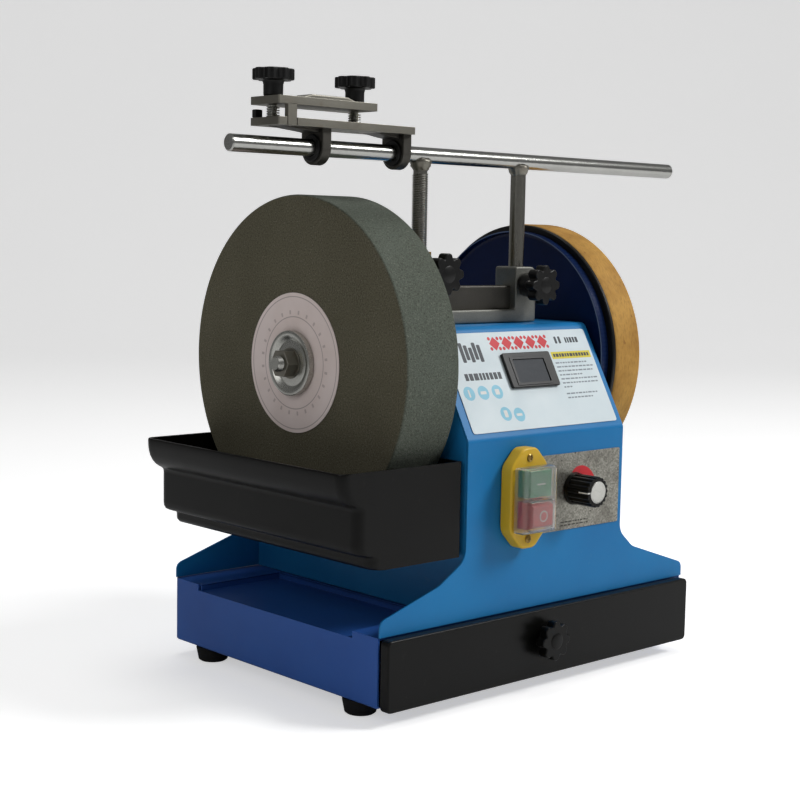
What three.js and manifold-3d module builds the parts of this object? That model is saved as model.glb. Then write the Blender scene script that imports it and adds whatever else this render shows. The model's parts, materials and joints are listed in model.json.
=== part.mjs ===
// Wet grinding sharpener: water-cooled stone, leather honing wheel, sheet-steel housing on a
// tray base with a drawer, and a T-shaped support bar that carries a straight-edge clamp jig.
// Millimetres, +Z up, +X to the honing side, -Y to the user.
// Sizes are laid out from the spindle: its axis is y = 0, z = 0, and the stone's outer face is
// x = 0. The finished group is moved so that its origin is the middle of the footprint on the floor.
import * as THREE from 'three';
import { mergeVertices } from 'three/addons/utils/BufferGeometryUtils.js';
import Module from 'manifold-3d';

const wasm = await Module();
wasm.setup();

// ---- Driving dimensions ------------------------------------------------------------------
const GAP = 0.3;                 // clearance between touching pieces
const SHEET = 1.5;               // steel sheet
const STONE_R = 125;
const STONE_W = 50;
const BORE_R = 6.2;
const LABEL_R = 52.4;
const FLANGE_R = 24.5;
const INNER_FLANGE_R = 30;
const SHAFT_R = 8;
const STUB_R = 5.9;
const LEATHER_R = 107.8;
const LEATHER_T = 3.2;
const HONE_LEFT = 243.5;
const HONE_RIGHT = 273;
const DISC_LEFT = 231.8;
const DISC_RIGHT = 239.6;
const DISC_R = 102;
const RIM_IN_R = 100.5;
const ROLLER_R = 7;
const MOTOR_Z = -(RIM_IN_R - ROLLER_R - GAP);
const MOTOR_R = 36;

const FLOOR_Z = -243.5;          // underside of the feet
const BASE = { x0: -24, x1: 311, y0: -126, y1: 120, z0: -231.7, z1: -181 };
const RECESS = { y0: -98, y1: 88, x1: 57, depth: 5 };
const HOUSE = { x0: 58, x1: 230, front: -127.8, rear: 120, bend: -50, top: 29.5 };
const TOP_FRONT = -84;
const TOP_REAR = 76;
const SEAM_Y = 40;
const PANEL_FOOT = -180.7;
const FLARE_TIP = -169.5;
const FLARE_ROOT = -139;
const BEND_R = 7;

const BAR_Y = -52;
const BAR_Z = 156;
const BAR_R = 6;
const BAR_X = [-100, 371];
const LEG_X = [76.3, 182.4];
const LEG_FOOT = -35;
const SLEEVE_HALF = 11.5;
const SLEEVE_TOP = [79, 73.5];
const LOCK_Z = [68.2, 59.6];

const JIG = { x0: -70, upperEnd: 19, lowerEnd: 56, half: 16, lower: [169.3, 174.7], upper: [183.5, 189] };
const CLAMP_X = [-61, 12.5];
const CLAMP_Y = -50;
const EAR_X = [[-28, -20], [48, 56]];
const EAR_HALF = 12;

const TROUGH = { y0: -126, y1: 112, right: 54.5, wall: 2.2, rim: -64, bottom: -133.5 };
const SWITCH = { x: 111.2, z: -94.5, w: 39.5, h: 75, front: -139.5, ledge: 38 };
const COVER = { front: -150.6, halfWidth: 18.2, halfHeight: 24.5, wall: 1 };
const COVER_REACH = { start: -151.7, stop: -154.8 };
const DIAL = { x: 172.8, z: -94.4, r: 11.8, front: -152.6 };
const DRAWER = { x0: -24, x1: 308, front: -137, back: -128.3, z0: -232.7, z1: -181.3 };
const DRAWER_KNOB = { x: 135, z: -204, r: 15, front: -150 };
const GLAND = { x: 144.5, z: -160, end: 132 };

// ---- Finishes ----------------------------------------------------------------------------
function finish(color, roughness, metalness) {
  return new THREE.MeshStandardMaterial({ color, roughness, metalness });
}
const PAINT = finish(0x2a6fa0, 0.45, 0.1);
const NAVY = finish(0x27406f, 0.5, 0.1);
const BLACK = finish(0x1c1d1c, 0.4, 0);
const GRIT = finish(0x4c4d42, 0.95, 0);
const PAPER = finish(0xa59693, 0.8, 0);
const LEATHER = finish(0x9c7538, 0.8, 0);
const STEEL = finish(0x9b9b96, 0.35, 0.9);
const CHROME = finish(0xc8c8c8, 0.12, 1);
const CAST = finish(0x8f8e88, 0.5, 0.7);
const RUBBER = finish(0x121212, 0.8, 0);
const YELLOW = finish(0xc19e25, 0.45, 0);
const GREEN = finish(0x2f9a63, 0.4, 0);
const RED = finish(0xb0433f, 0.4, 0);
const CLEAR = finish(0xd8dcd8, 0.15, 0);
const WHITE = finish(0xc5d8e0, 0.5, 0);
const GLASS = finish(0x30343a, 0.1, 0);
const BRONZE = finish(0x9a7a46, 0.4, 0.8);
const BOARD = finish(0x2c6a3c, 0.6, 0);

// ---- Shape helpers -----------------------------------------------------------------------
const X = new THREE.Vector3(1, 0, 0);
const Y = new THREE.Vector3(0, 1, 0);
const Z = new THREE.Vector3(0, 0, 1);
const basis = (a, b, c) => new THREE.Matrix4().makeBasis(a, b, c);

// A closed three.js geometry as a solid that can be joined and cut.
function solid(geometry) {
  const bare = geometry.index ? geometry.toNonIndexed() : geometry;
  bare.deleteAttribute('normal');
  bare.deleteAttribute('uv');
  const merged = mergeVertices(bare, 1e-4);
  const points = merged.attributes.position.array;
  const index = merged.index.array;
  const kept = [];
  let volume = 0;
  const corner = (i) => new THREE.Vector3().fromArray(points, 3 * i);
  for (let i = 0; i < index.length; i += 3) {
    const [a, b, c] = [index[i], index[i + 1], index[i + 2]];
    if (a === b || b === c || a === c) {
      continue;
    }
    kept.push([a, b, c]);
    volume += corner(a).dot(corner(b).cross(corner(c)));
  }
  const triVerts = new Uint32Array(kept.flatMap(([a, b, c]) => (volume < 0 ? [a, c, b] : [a, b, c])));
  const vertProperties = Float32Array.from(points);
  return new wasm.Manifold(new wasm.Mesh({ numProp: 3, vertProperties, triVerts }));
}

function box(x0, x1, y0, y1, z0, z1) {
  const block = new THREE.BoxGeometry(x1 - x0, y1 - y0, z1 - z0);
  return solid(block.translate((x0 + x1) / 2, (y0 + y1) / 2, (z0 + z1) / 2));
}

// An outline pushed straight along one axis, from one value to the other.
function prism(axis, outline, from, to) {
  const shape = new THREE.Shape(outline.map(([u, v]) => new THREE.Vector2(u, v)));
  const block = new THREE.ExtrudeGeometry(shape, { depth: to - from, bevelEnabled: false });
  if (axis === 'x') block.translate(0, 0, from).applyMatrix4(basis(Y, Z, X));
  if (axis === 'y') block.translate(0, 0, -to).applyMatrix4(basis(X, Z, Y.clone().negate()));
  if (axis === 'z') block.translate(0, 0, from);
  return solid(block);
}

// A profile of [distance along the axis, radius] turned about an axis through a centre.
function turned(axis, profile, centre = [0, 0, 0], segments = 24) {
  const points = profile.map(([along, radius]) => new THREE.Vector2(radius, along));
  const closed = profile[0][1] > 0;
  const loop = closed ? [...points, points[0].clone()] : points;
  const body = new THREE.LatheGeometry(loop, segments);
  if (axis === 'x') body.applyMatrix4(basis(Y, X, Z.clone().negate()));
  if (axis === 'z') body.applyMatrix4(basis(X, Z, Y.clone().negate()));
  return solid(body.translate(...centre));
}

const rod = (axis, from, to, r, centre = [0, 0, 0], segments = 20) =>
  turned(axis, [[from, 0], [from, r], [to, r], [to, 0]], centre, segments);
const ring = (axis, from, to, rIn, rOut, centre = [0, 0, 0], segments = 24) =>
  turned(axis, [[from, rIn], [from, rOut], [to, rOut], [to, rIn]], centre, segments);

// The corners of an open path rounded to a radius.
function rounded(path, radius, steps = 4) {
  const out = [path[0]];
  for (let i = 1; i < path.length - 1; i++) {
    const here = new THREE.Vector2(...path[i]);
    const back = new THREE.Vector2(...path[i - 1]).sub(here).normalize();
    const on = new THREE.Vector2(...path[i + 1]).sub(here).normalize();
    const half = Math.acos(THREE.MathUtils.clamp(back.dot(on), -1, 1)) / 2;
    const reach = radius / Math.tan(half);
    const centre = back.clone().add(on).normalize().multiplyScalar(radius / Math.sin(half)).add(here);
    const start = here.clone().addScaledVector(back, reach).sub(centre);
    const end = here.clone().addScaledVector(on, reach).sub(centre);
    const turn = Math.atan2(start.cross(end), start.dot(end));
    for (let k = 0; k <= steps; k++) {
      const p = start.clone().rotateAround(new THREE.Vector2(), (turn * k) / steps).add(centre);
      out.push([p.x, p.y]);
    }
  }
  out.push(path.at(-1));
  return out;
}

// A path moved sideways to its right by a distance, with mitred corners.
function beside(path, distance) {
  const normal = (i) => {
    const [a, b] = [path[i], path[i + 1]];
    return new THREE.Vector2(b[1] - a[1], a[0] - b[0]).normalize();
  };
  return path.map((p, i) => {
    const n0 = normal(Math.max(i - 1, 0));
    const n1 = normal(Math.min(i, path.length - 2));
    const mitre = n0.clone().add(n1).normalize();
    const length = distance / mitre.dot(n0);
    return [p[0] + mitre.x * length, p[1] + mitre.y * length];
  });
}

// A star-shaped grip outline: a circle with rounded lobes.
function lobes(r, count, depth, centre, steps = 6) {
  const outline = [];
  for (let i = 0; i < count * steps; i++) {
    const a = (2 * Math.PI * i) / (count * steps);
    const swell = r - depth * (0.5 - 0.5 * Math.cos(count * a));
    outline.push([centre[0] + swell * Math.cos(a), centre[1] + swell * Math.sin(a)]);
  }
  return outline;
}

// ---- The assembly ------------------------------------------------------------------------
const sharpener = new THREE.Group();

function add(name, manifold, material) {
  const { vertProperties, triVerts } = manifold.getMesh();
  const geometry = new THREE.BufferGeometry();
  geometry.setAttribute('position', new THREE.BufferAttribute(vertProperties, 3));
  geometry.setIndex(new THREE.BufferAttribute(triVerts, 1));
  geometry.computeVertexNormals();
  const mesh = new THREE.Mesh(geometry, material);
  mesh.name = name;
  sharpener.add(mesh);
}

// ---- Base: folded pan, tray floor and feet -------------------------------------------------
{
  const { x0, x1, y0, y1, z0, z1 } = BASE;
  const hollow = box(x0 + SHEET, x1 - SHEET, y0 - 1, y1 - SHEET, z0 + SHEET, z1 + 1);
  const spout = box(x0 - 1, x0 + SHEET + 1, RECESS.y0, RECESS.y1, z1 - RECESS.depth, z1 + 1);
  add('base_pan', box(x0, x1, y0, y1, z0, z1).subtract(hollow).subtract(spout), NAVY);

  const edge = SHEET + GAP;
  const top = z1 - GAP;
  const floor = top - RECESS.depth;
  const [rx, ry0, ry1] = [RECESS.x1, RECESS.y0, RECESS.y1];
  const sheet = box(x0 + edge, x1 - edge, y0 + GAP, y1 - edge, top - SHEET, top);
  const dish = box(x0 + edge, rx, ry0, ry1, floor - SHEET, top);
  const basin = box(x0, rx - SHEET, ry0 + SHEET, ry1 - SHEET, floor, top + 1);
  add('tray_floor', sheet.add(dish).subtract(basin), NAVY);

  const inset = 13.6;
  const footY = [-93, 87];
  const sides = { left: x0 + inset, right: x1 - inset };
  const ends = { front: footY[0], rear: footY[1] };
  for (const [end, y] of Object.entries(ends)) {
    for (const [side, x] of Object.entries(sides)) {
      const profile = [[FLOOR_Z, 0], [FLOOR_Z, 11.4], [z0 - GAP, 13.4], [z0 - GAP, 0]];
      add(`foot_${end}_${side}`, turned('z', profile, [x, y, 0], 20), RUBBER);
    }
  }
}

// ---- Housing: two bent sheets with flared feet, closed by side plates ----------------------
const { x0: HX0, x1: HX1 } = HOUSE;
const wrap = [[HOUSE.front, PANEL_FOOT], [HOUSE.front, HOUSE.bend], [TOP_FRONT, HOUSE.top],
  [TOP_REAR, HOUSE.top], [HOUSE.rear, HOUSE.bend], [HOUSE.rear, PANEL_FOOT]];
const skin = rounded(wrap, BEND_R, 3);

// The flared outline that both sheets are cut to, seen from the front.
function flare(x, dir) {
  const tip = x + dir * (HX0 - BASE.x0);
  return [[tip, PANEL_FOOT - 1], [tip, FLARE_TIP], [x + dir * 26, FLARE_ROOT - 13], [x, FLARE_ROOT + 4],
    [x, HOUSE.top + 1]];
}
const leftEdge = rounded(flare(HX0, -1), 6, 3);
const rightEdge = rounded(flare(HX1, 1), 6, 3).reverse();
const outline = prism('y', [...leftEdge, ...rightEdge], HOUSE.front - 1, HOUSE.rear + 1);

// The sloped control panel's own directions: along it, up it, and out of it.
const slopeUp = new THREE.Vector3(0, TOP_FRONT - HOUSE.front, HOUSE.top - HOUSE.bend).normalize();
const slopeOut = X.clone().cross(slopeUp);
const panelPlace = basis(X, slopeUp, slopeOut).setPosition(0, HOUSE.front, HOUSE.bend);
function onPanel(x0, x1, s0, s1, n0, n1) {
  const block = new THREE.BoxGeometry(x1 - x0, s1 - s0, n1 - n0);
  block.translate((x0 + x1) / 2, (s0 + s1) / 2, (n0 + n1) / 2);
  return solid(block.applyMatrix4(panelPlace));
}

const displayX = [120, 172];
const displayS = [37.3, 66.1];
const displayHole = onPanel(displayX[0] + 4, displayX[1] - 4, displayS[0] + 3, displayS[1] - 3, -6, 6);
{
  const inner = beside(skin, SHEET).reverse();
  const shell = prism('x', [...skin, ...inner], BASE.x0, BASE.x1).intersect(outline);
  const frontHalf = box(BASE.x0 - 1, BASE.x1 + 1, HOUSE.front - 1, SEAM_Y, PANEL_FOOT - 1, HOUSE.top + 1);
  const rearHalf = box(BASE.x0 - 1, BASE.x1 + 1, SEAM_Y + GAP, HOUSE.rear + 1, PANEL_FOOT - 1, HOUSE.top + 1);
  let front = shell.intersect(frontHalf).subtract(displayHole);
  for (const x of LEG_X) {
    front = front.subtract(rod('z', 0, 40, 7.5, [x, BAR_Y, 0]));
  }
  const { x, z } = SWITCH;
  front = front.subtract(box(x - 15, x + 15, HOUSE.front - 2, HOUSE.front + 4, z - 23, z + 23));
  front = front.subtract(rod('y', HOUSE.front - 2, HOUSE.front + 4, 4, [DIAL.x, 0, DIAL.z]));
  add('front_panel', front, PAINT);
  const cordHole = rod('y', HOUSE.rear - 4, HOUSE.rear + 2, 6.5, [GLAND.x, 0, GLAND.z]);
  add('rear_panel', shell.intersect(rearHalf).subtract(cordHole), PAINT);

  const plate = beside(skin, SHEET + GAP);
  const shaftHole = rod('x', HX0 - 1, HX1 + 1, 10);
  const rollerHole = rod('x', HX1 - 5, HX1 + 1, 10, [0, 0, MOTOR_Z]);
  add('side_plate_left', prism('x', plate, HX0, HX0 + SHEET).subtract(shaftHole), PAINT);
  const right = prism('x', plate, HX1 - SHEET, HX1).subtract(shaftHole).subtract(rollerHole);
  add('side_plate_right', right, PAINT);
}

// ---- Control panel: printed label, display ------------------------------------------------
{
  const [x0, x1] = displayX;
  const [s0, s1] = displayS;
  add('label_plate', onPanel(65, 224.5, 5, 84.9, GAP, 0.7).subtract(displayHole), WHITE);
  const face = onPanel(x0, x1, s0, s1, 1, 3.6);
  const body = onPanel(x0 + 4.5, x1 - 4.5, s0 + 3.5, s1 - 3.5, -14, 1.2);
  const pocket = onPanel(127.8, 162.6, 40.7, 60.1, 2.4, 5);
  add('display_bezel', face.add(body).subtract(pocket), BLACK);
  add('display_window', onPanel(128.1, 162.3, 41, 59.8, 2.7, 3.3), GLASS);
}

// ---- Switch, buttons and clear cover --------------------------------------------------------
{
  const { x, z, w, h, front, ledge } = SWITCH;
  const back = HOUSE.front - GAP;
  const corner = (h - ledge) / 2;
  const hexagon = [[-8, -h / 2], [8, -h / 2], [w / 2, -h / 2 + corner * 0.8], [w / 2, h / 2 - corner * 0.8],
    [8, h / 2], [-8, h / 2], [-w / 2, h / 2 - corner * 0.8], [-w / 2, -h / 2 + corner * 0.8]];
  const flange = prism('y', hexagon.map(([u, v]) => [x + u, z + v]), front, back);
  const block = box(x - 14, x + 14, back - 1, -102, z - 22, z + 22);
  const buttonZ = { start: z + 12, stop: z - 11.3 };
  const [halfW, halfH] = [11.8, 10.1];
  const floorY = -130.7;
  let body = flange.add(block);
  for (const bz of Object.values(buttonZ)) {
    const [pw, ph] = [halfW + 0.4, halfH + 0.4];
    body = body.subtract(box(x - pw, x + pw, front - 1, floorY, bz - ph, bz + ph));
  }
  add('switch_body', body, YELLOW);

  // Each button is a block; the stop button also tapers to a smaller, prouder face.
  const { start: startZ, stop: stopZ } = buttonZ;
  add('start_button', box(x - halfW, x + halfW, -150.2, -134, startZ - halfH, startZ + halfH), GREEN);
  function taper(middle, wide, narrow) {
    return [[middle - wide, -134], [middle - wide, -147], [middle - narrow, -153.3],
      [middle + narrow, -153.3], [middle + wide, -147], [middle + wide, -134]];
  }
  const fromAbove = prism('z', taper(x, halfW, 10.2), stopZ - halfH, stopZ + halfH);
  const sideways = taper(stopZ, halfH, 7.3).map(([up, along]) => [along, up]);
  add('stop_button', fromAbove.intersect(prism('x', sideways, x - halfW, x + halfW)), RED);

  // The soft clear cover bulges over each button.
  const { halfWidth, halfHeight, wall } = COVER;
  const brim = front - GAP;
  const boxAt = (bz, w, h, y0, y1) => box(x - w, x + w, y0, y1, bz - h, bz + h);
  let shell = boxAt(z, halfWidth, halfHeight, COVER.front, brim);
  let inside = boxAt(z, halfWidth - wall, halfHeight - wall, COVER.front + wall, front + 1);
  for (const [name, bz] of Object.entries(buttonZ)) {
    const [bw, bh, reach] = [halfW + 0.4, halfH + 0.4, COVER_REACH[name]];
    shell = shell.add(boxAt(bz, bw + wall, bh + wall, reach, brim));
    inside = inside.add(boxAt(bz, bw, bh, reach + wall, front));
  }
  add('switch_cover', shell.subtract(inside), CLEAR);
}

// ---- Speed control ------------------------------------------------------------------------
{
  const { x, z, r, front } = DIAL;
  const base = HOUSE.front - GAP;
  const plate = box(133, 225.5, base - 0.5, base, -125.5, -66.5);
  add('dial_plate', plate.subtract(rod('y', base - 2, base + 2, 4, [x, 0, z])), STEEL);
  const seat = HOUSE.front + SHEET + GAP;
  const pot = rod('y', seat, seat + 12, 9, [x, 0, z]);
  add('potentiometer', pot.add(rod('y', -143, seat + 1, 3, [x, 0, z], 16)), BLACK);
  const skirt = base - 0.5 - GAP;
  const profile = [[front + 1.2, 0], [front + 1.2, 8.8], [front, 8.8], [front, r - 1], [front + 1, r],
    [skirt, r + 0.8], [skirt, 3.4], [-144, 3.4], [-144, 0]];
  add('speed_knob', turned('y', profile, [x, 0, z], 28), BLACK);
  add('knob_cap', rod('y', front - 0.4, front + 0.9, 8.5, [x, 0, z], 24), STEEL);
  add('speed_controller', box(150, 215, -92, -90, BASE.z1, -120), BOARD);
}

// ---- Drawer -------------------------------------------------------------------------------
{
  const { x0, x1, front, back, z0, z1 } = DRAWER;
  const path = [[x0, (z0 + z1) / 2], [x0, z1], [x1, z1], [x1, z0], [x0, z0], [x0, (z0 + z1) / 2]];
  const face = prism('y', rounded(path, 4.5, 3).slice(0, -1), front, back);
  add('drawer_front', face, BLACK);
  const [bx0, bx1, by0, by1, bz0, bz1] = [x0 + 4, x1 - 4, back + GAP, 100, BASE.z0 + SHEET + GAP, -194];
  const box1 = box(bx0, bx1, by0, by1, bz0, bz1);
  const inside = box(bx0 + 1.2, bx1 - 1.2, by0 + 1.2, by1 - 1.2, bz0 + 1.2, bz1 + 1);
  add('drawer_box', box1.subtract(inside), STEEL);
  const k = DRAWER_KNOB;
  const head = prism('y', lobes(k.r, 8, 2.4, [k.x, k.z], 4), k.front, k.front + 9);
  add('drawer_knob', head.add(rod('y', k.front + 8, front - GAP, 8, [k.x, 0, k.z])), BLACK);
}

// ---- Water trough ---------------------------------------------------------------------------
{
  const { y0, y1, right, wall, rim, bottom } = TROUGH;
  // Left side in three tiers: a cove under the rim, then two ledges.
  const side = [[-59, rim], [-58, -73], [-54, -80.5], [-48, -85.5], [-44.5, -88], [-44.5, -121], [-32, -124],
    [-32, bottom]];
  const tiers = (inset, top) => {
    const wallLine = beside(side, -inset);
    wallLine[0][1] = top;
    wallLine.at(-1)[1] = bottom + inset;
    return [[right - inset, top], ...wallLine, [right - inset, bottom + inset]];
  };
  const outside = prism('y', tiers(0, rim), y0, y1);
  add('water_trough', outside.subtract(prism('y', tiers(wall, rim + 5), y0 + wall, y1 - wall)), BLACK);
  add('trough_magnet', box(right + GAP, HX0 - GAP, -50, 42, -100, -84), STEEL);
}

// ---- Spindle: stone at the left, honing wheel at the right ----------------------------------
{
  const stubLeft = -19;
  const shoulder = STONE_W + GAP + 5.4 + GAP;
  const stepEnd = DISC_RIGHT + 0.2;
  const shaft = [[stubLeft, 0], [stubLeft, STUB_R - 1], [stubLeft + 1, STUB_R], [shoulder, STUB_R],
    [shoulder, SHAFT_R], [stepEnd, SHAFT_R], [stepEnd, STUB_R], [286, STUB_R], [286, 0]];
  add('main_shaft', turned('x', shaft), STEEL);
  add('grinding_stone', ring('x', 0, STONE_W, BORE_R, STONE_R, [0, 0, 0], 60), GRIT);
  add('stone_label', ring('x', -GAP - 0.4, -GAP, BORE_R, LABEL_R, [0, 0, 0], 40), PAPER);
  add('inner_flange', ring('x', STONE_W + GAP, STONE_W + GAP + 5.4, BORE_R, INNER_FLANGE_R), STEEL);
  const cup = [[-1, BORE_R], [-4.4, BORE_R], [-4.4, 18], [-6, 20.5], [-6, FLANGE_R - 0.8], [-5.2, FLANGE_R],
    [-1, FLANGE_R]];
  add('outer_flange', turned('x', cup, [0, 0, 0], 28), STEEL);
  const nutR = 9.5 / Math.cos(Math.PI / 6);
  const hex = [];
  for (let i = 0; i < 6; i++) {
    const a = (i * Math.PI) / 3;
    hex.push([nutR * Math.cos(a), nutR * Math.sin(a)]);
  }
  add('stone_nut', prism('x', hex, -14.5, -4.7).subtract(rod('x', -20, 0, BORE_R)), STEEL);

  const bearingWidth = 12;
  const seats = { bearing_left: HX0 + SHEET + GAP, bearing_right: HX1 - SHEET - GAP - bearingWidth };
  for (const [name, x] of Object.entries(seats)) {
    add(name, ring('x', x, x + bearingWidth, SHAFT_R + GAP, 21), STEEL);
  }

  const web = DISC_RIGHT - 2;
  const disc = [[DISC_LEFT, SHAFT_R + GAP], [DISC_LEFT, 18], [web, 18], [web, RIM_IN_R],
    [DISC_LEFT, RIM_IN_R], [DISC_LEFT, DISC_R], [DISC_RIGHT, DISC_R], [DISC_RIGHT, SHAFT_R + GAP]];
  add('drive_disc', turned('x', disc, [0, 0, 0], 48), PAINT);
  const coreR = LEATHER_R - LEATHER_T - GAP;
  const coreLeft = DISC_RIGHT + 0.6;
  const core = [[coreLeft, BORE_R], [coreLeft, LEATHER_R - 0.6], [HONE_LEFT - GAP, LEATHER_R - 0.6],
    [HONE_LEFT - GAP, coreR], [HONE_RIGHT, coreR], [HONE_RIGHT, coreR - 10], [254, coreR - 12], [254, 22],
    [HONE_RIGHT, 20], [HONE_RIGHT, BORE_R]];
  add('honing_core', turned('x', core, [0, 0, 0], 48), BLACK);
  add('leather_band', ring('x', HONE_LEFT, HONE_RIGHT, coreR + GAP, LEATHER_R, [0, 0, 0], 48), LEATHER);
  const grip = prism('x', lobes(19, 7, 3, [0, 0], 4), HONE_RIGHT + 4, HONE_RIGHT + 18);
  const collar = rod('x', HONE_RIGHT + GAP, HONE_RIGHT + 5, 13);
  add('honing_nut', grip.add(collar).subtract(rod('x', HONE_RIGHT, HONE_RIGHT + 14, BORE_R)), BLACK);
}

// ---- Motor: its roller runs inside the drive disc's rim --------------------------------------
{
  const at = [0, 0, MOTOR_Z];
  const can = rod('x', 88, 186, MOTOR_R, at, 24);
  const pedestal = box(102, 172, -28, 28, BASE.z1, MOTOR_Z);
  add('motor_body', can.add(pedestal).subtract(rod('x', 80, 190, 4.4, at)), STEEL);
  const rollerEnd = DISC_RIGHT - 2 - GAP;
  add('motor_shaft', rod('x', 82, rollerEnd, 4, at, 20), STEEL);
  add('drive_roller', ring('x', HX1 - 8, rollerEnd, 4 + GAP, ROLLER_R, at, 20), RUBBER);
}

// ---- Support: cast bracket, T bar, adjuster and lock knobs -----------------------------------
{
  const foot = HOUSE.top + GAP;
  const front = BAR_Y - SLEEVE_HALF;
  let bracket = box(LEG_X[0], LEG_X[1], front, -30, foot, 40);
  bracket = bracket.add(box(LEG_X[0], LEG_X[1], BAR_Y - 5, BAR_Y + 6, 39, 58.5));
  LEG_X.forEach((x, i) => {
    const sleeve = box(x - SLEEVE_HALF, x + SLEEVE_HALF, front, BAR_Y + SLEEVE_HALF, foot, SLEEVE_TOP[i]);
    bracket = bracket.add(sleeve);
  });
  LEG_X.forEach((x, i) => {
    bracket = bracket.subtract(rod('z', 0, 100, BAR_R + GAP, [x, BAR_Y, 0]));
    bracket = bracket.subtract(rod('y', front - 1, BAR_Y, 4.4, [x, 0, LOCK_Z[i]]));
  });
  add('support_bracket', bracket, CAST);

  add('support_bar', rod('x', BAR_X[0], BAR_X[1], BAR_R, [0, BAR_Y, BAR_Z]), CHROME);
  const saddle = rod('x', BAR_X[0], BAR_X[1], BAR_R + GAP, [0, BAR_Y, BAR_Z]);
  ['threaded_leg', 'plain_leg'].forEach((name, i) => {
    add(name, rod('z', LEG_FOOT, BAR_Z - 2, BAR_R, [LEG_X[i], BAR_Y, 0]).subtract(saddle), STEEL);
  });
  const nutBottom = SLEEVE_TOP[0] + GAP;
  add('adjuster_nut', ring('z', nutBottom, nutBottom + 5.2, BAR_R + GAP, 9.4, [LEG_X[0], BAR_Y, 0]), BRONZE);

  ['lock_knob_left', 'lock_knob_right'].forEach((name, i) => {
    const at = [LEG_X[i], 0, LOCK_Z[i]];
    const head = prism('y', lobes(15.5, 8, 2.4, [at[0], at[2]], 4), -86, -76);
    const hub = turned('y', [[-77, 0], [-77, 12], [front - 0.5, 10], [front - 0.5, 0]], at, 20);
    const stud = rod('y', front - 1, BAR_Y - BAR_R - 0.4, 4, at, 16);
    add(name, head.add(hub).add(stud), BLACK);
  });
}

// ---- Straight-edge jig ------------------------------------------------------------------------
{
  const { x0, upperEnd, lowerEnd, half, lower, upper } = JIG;
  const [yFront, yBack] = [BAR_Y - half, BAR_Y + half];
  const pin = { x0: -62, x1: -54, depth: 4 };

  let jaw = box(x0, lowerEnd, yFront, yBack, lower[0], lower[1]);
  const lug = [[-EAR_HALF, lower[0] + 1 - BAR_Z]];
  for (let i = 0; i <= 10; i++) {
    const a = Math.PI + (Math.PI * i) / 10;
    lug.push([EAR_HALF * Math.cos(a), EAR_HALF * Math.sin(a)]);
  }
  lug.push([EAR_HALF, lower[0] + 1 - BAR_Z]);
  const gussetReach = [38, 26];
  EAR_X.forEach(([ex0, ex1], i) => {
    jaw = jaw.add(prism('x', lug.map(([u, v]) => [BAR_Y + u, BAR_Z + v]), ex0, ex1));
    const high = lower[0] + 0.5;
    const gusset = [[ex0 - gussetReach[i], high], [ex0 + 1, high], [ex0 + 1, 163.3], [ex0, 163.3]];
    jaw = jaw.add(prism('y', gusset, BAR_Y - 8, BAR_Y + 8));
    jaw = jaw.subtract(rod('x', ex0 - 1, ex1 + 1, 8.3, [0, BAR_Y, BAR_Z]));
    jaw = jaw.subtract(rod('x', ex0 - 2, ex0, 10.1, [0, BAR_Y, BAR_Z]));
  });
  jaw = jaw.subtract(box(pin.x0 - 0.4, pin.x1 + 0.4, yFront - 1, yFront + pin.depth + 0.4, 160, 180));
  CLAMP_X.forEach((x) => { jaw = jaw.subtract(rod('z', 160, 180, 3.4, [x, CLAMP_Y, 0], 20)); });
  add('lower_jaw', jaw, STEEL);

  let plate = box(x0, upperEnd, yFront, yBack, upper[0], upper[1]);
  const rib = [[-44, upper[1] - 0.5], [-34, 192.3], [-2, 192.3], [6, upper[1] - 0.5]];
  plate = plate.add(prism('y', rib, BAR_Y - 8, BAR_Y + 8));
  plate = plate.add(box(pin.x0, pin.x1, yFront, yFront + pin.depth, lower[0], upper[0] + 1));
  CLAMP_X.forEach((x) => { plate = plate.subtract(rod('z', 180, 195, 3.6, [x, CLAMP_Y, 0], 20)); });
  add('upper_jaw', plate, STEEL);

  ['left', 'right'].forEach((side, i) => {
    const at = [CLAMP_X[i], CLAMP_Y, 0];
    const bush = [[EAR_X[i][0] - 1.6, BAR_R + GAP], [EAR_X[i][0] - 1.6, 9.6], [EAR_X[i][0] - GAP, 9.6],
      [EAR_X[i][0] - GAP, 8], [EAR_X[i][1], 8], [EAR_X[i][1], BAR_R + GAP]];
    add(`jig_bush_${side}`, turned('x', bush, [0, BAR_Y, BAR_Z], 20), BLACK);
    const head = prism('z', lobes(14.5, 8, 1.8, [at[0], at[1]], 4), 200, 208.6);
    const hub = turned('z', [[upper[1] + GAP, 0], [upper[1] + GAP, 6.8], [201, 7.2], [201, 0]], at, 20);
    const screw = rod('z', lower[0] + 0.2, 190, 3, at, 16);
    add(`clamp_knob_${side}`, head.add(hub).add(screw), BLACK);
    add(`clamp_spring_${side}`, ring('z', lower[1] + GAP, upper[0] - GAP, 3.4, 4.8, at, 16), STEEL);
  });
}

// ---- Cable gland ----------------------------------------------------------------------------
{
  const inner = HOUSE.rear - 8;
  const profile = [[inner, 3.6], [inner, 6.1], [HOUSE.rear + GAP, 6.1], [HOUSE.rear + GAP, 9],
    [HOUSE.rear + 4, 9], [GLAND.end, 6], [GLAND.end, 3.6]];
  add('cable_gland', turned('y', profile, [GLAND.x, 0, GLAND.z], 20), BLACK);
}

// Origin: the middle of the footprint, on the floor.
const midX = (BAR_X[0] + BAR_X[1]) / 2;
const midY = (COVER_REACH.stop + GLAND.end) / 2;
sharpener.position.set(-midX, -midY, -FLOOR_Z);

export default sharpener;
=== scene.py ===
# %% [markdown]
# # A wet grinding sharpener
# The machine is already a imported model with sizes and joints. This lesson dresses it: each visible
# piece is modelled again with round edges and real detail, and rides on the body it belongs to.
# Work is done in millimetres from the spindle, and moved to the model's own place at the end.

# %% Load the frame
import json
import math
import random
import bmesh
import bpy
from mathutils import Matrix, Vector, noise

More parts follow.
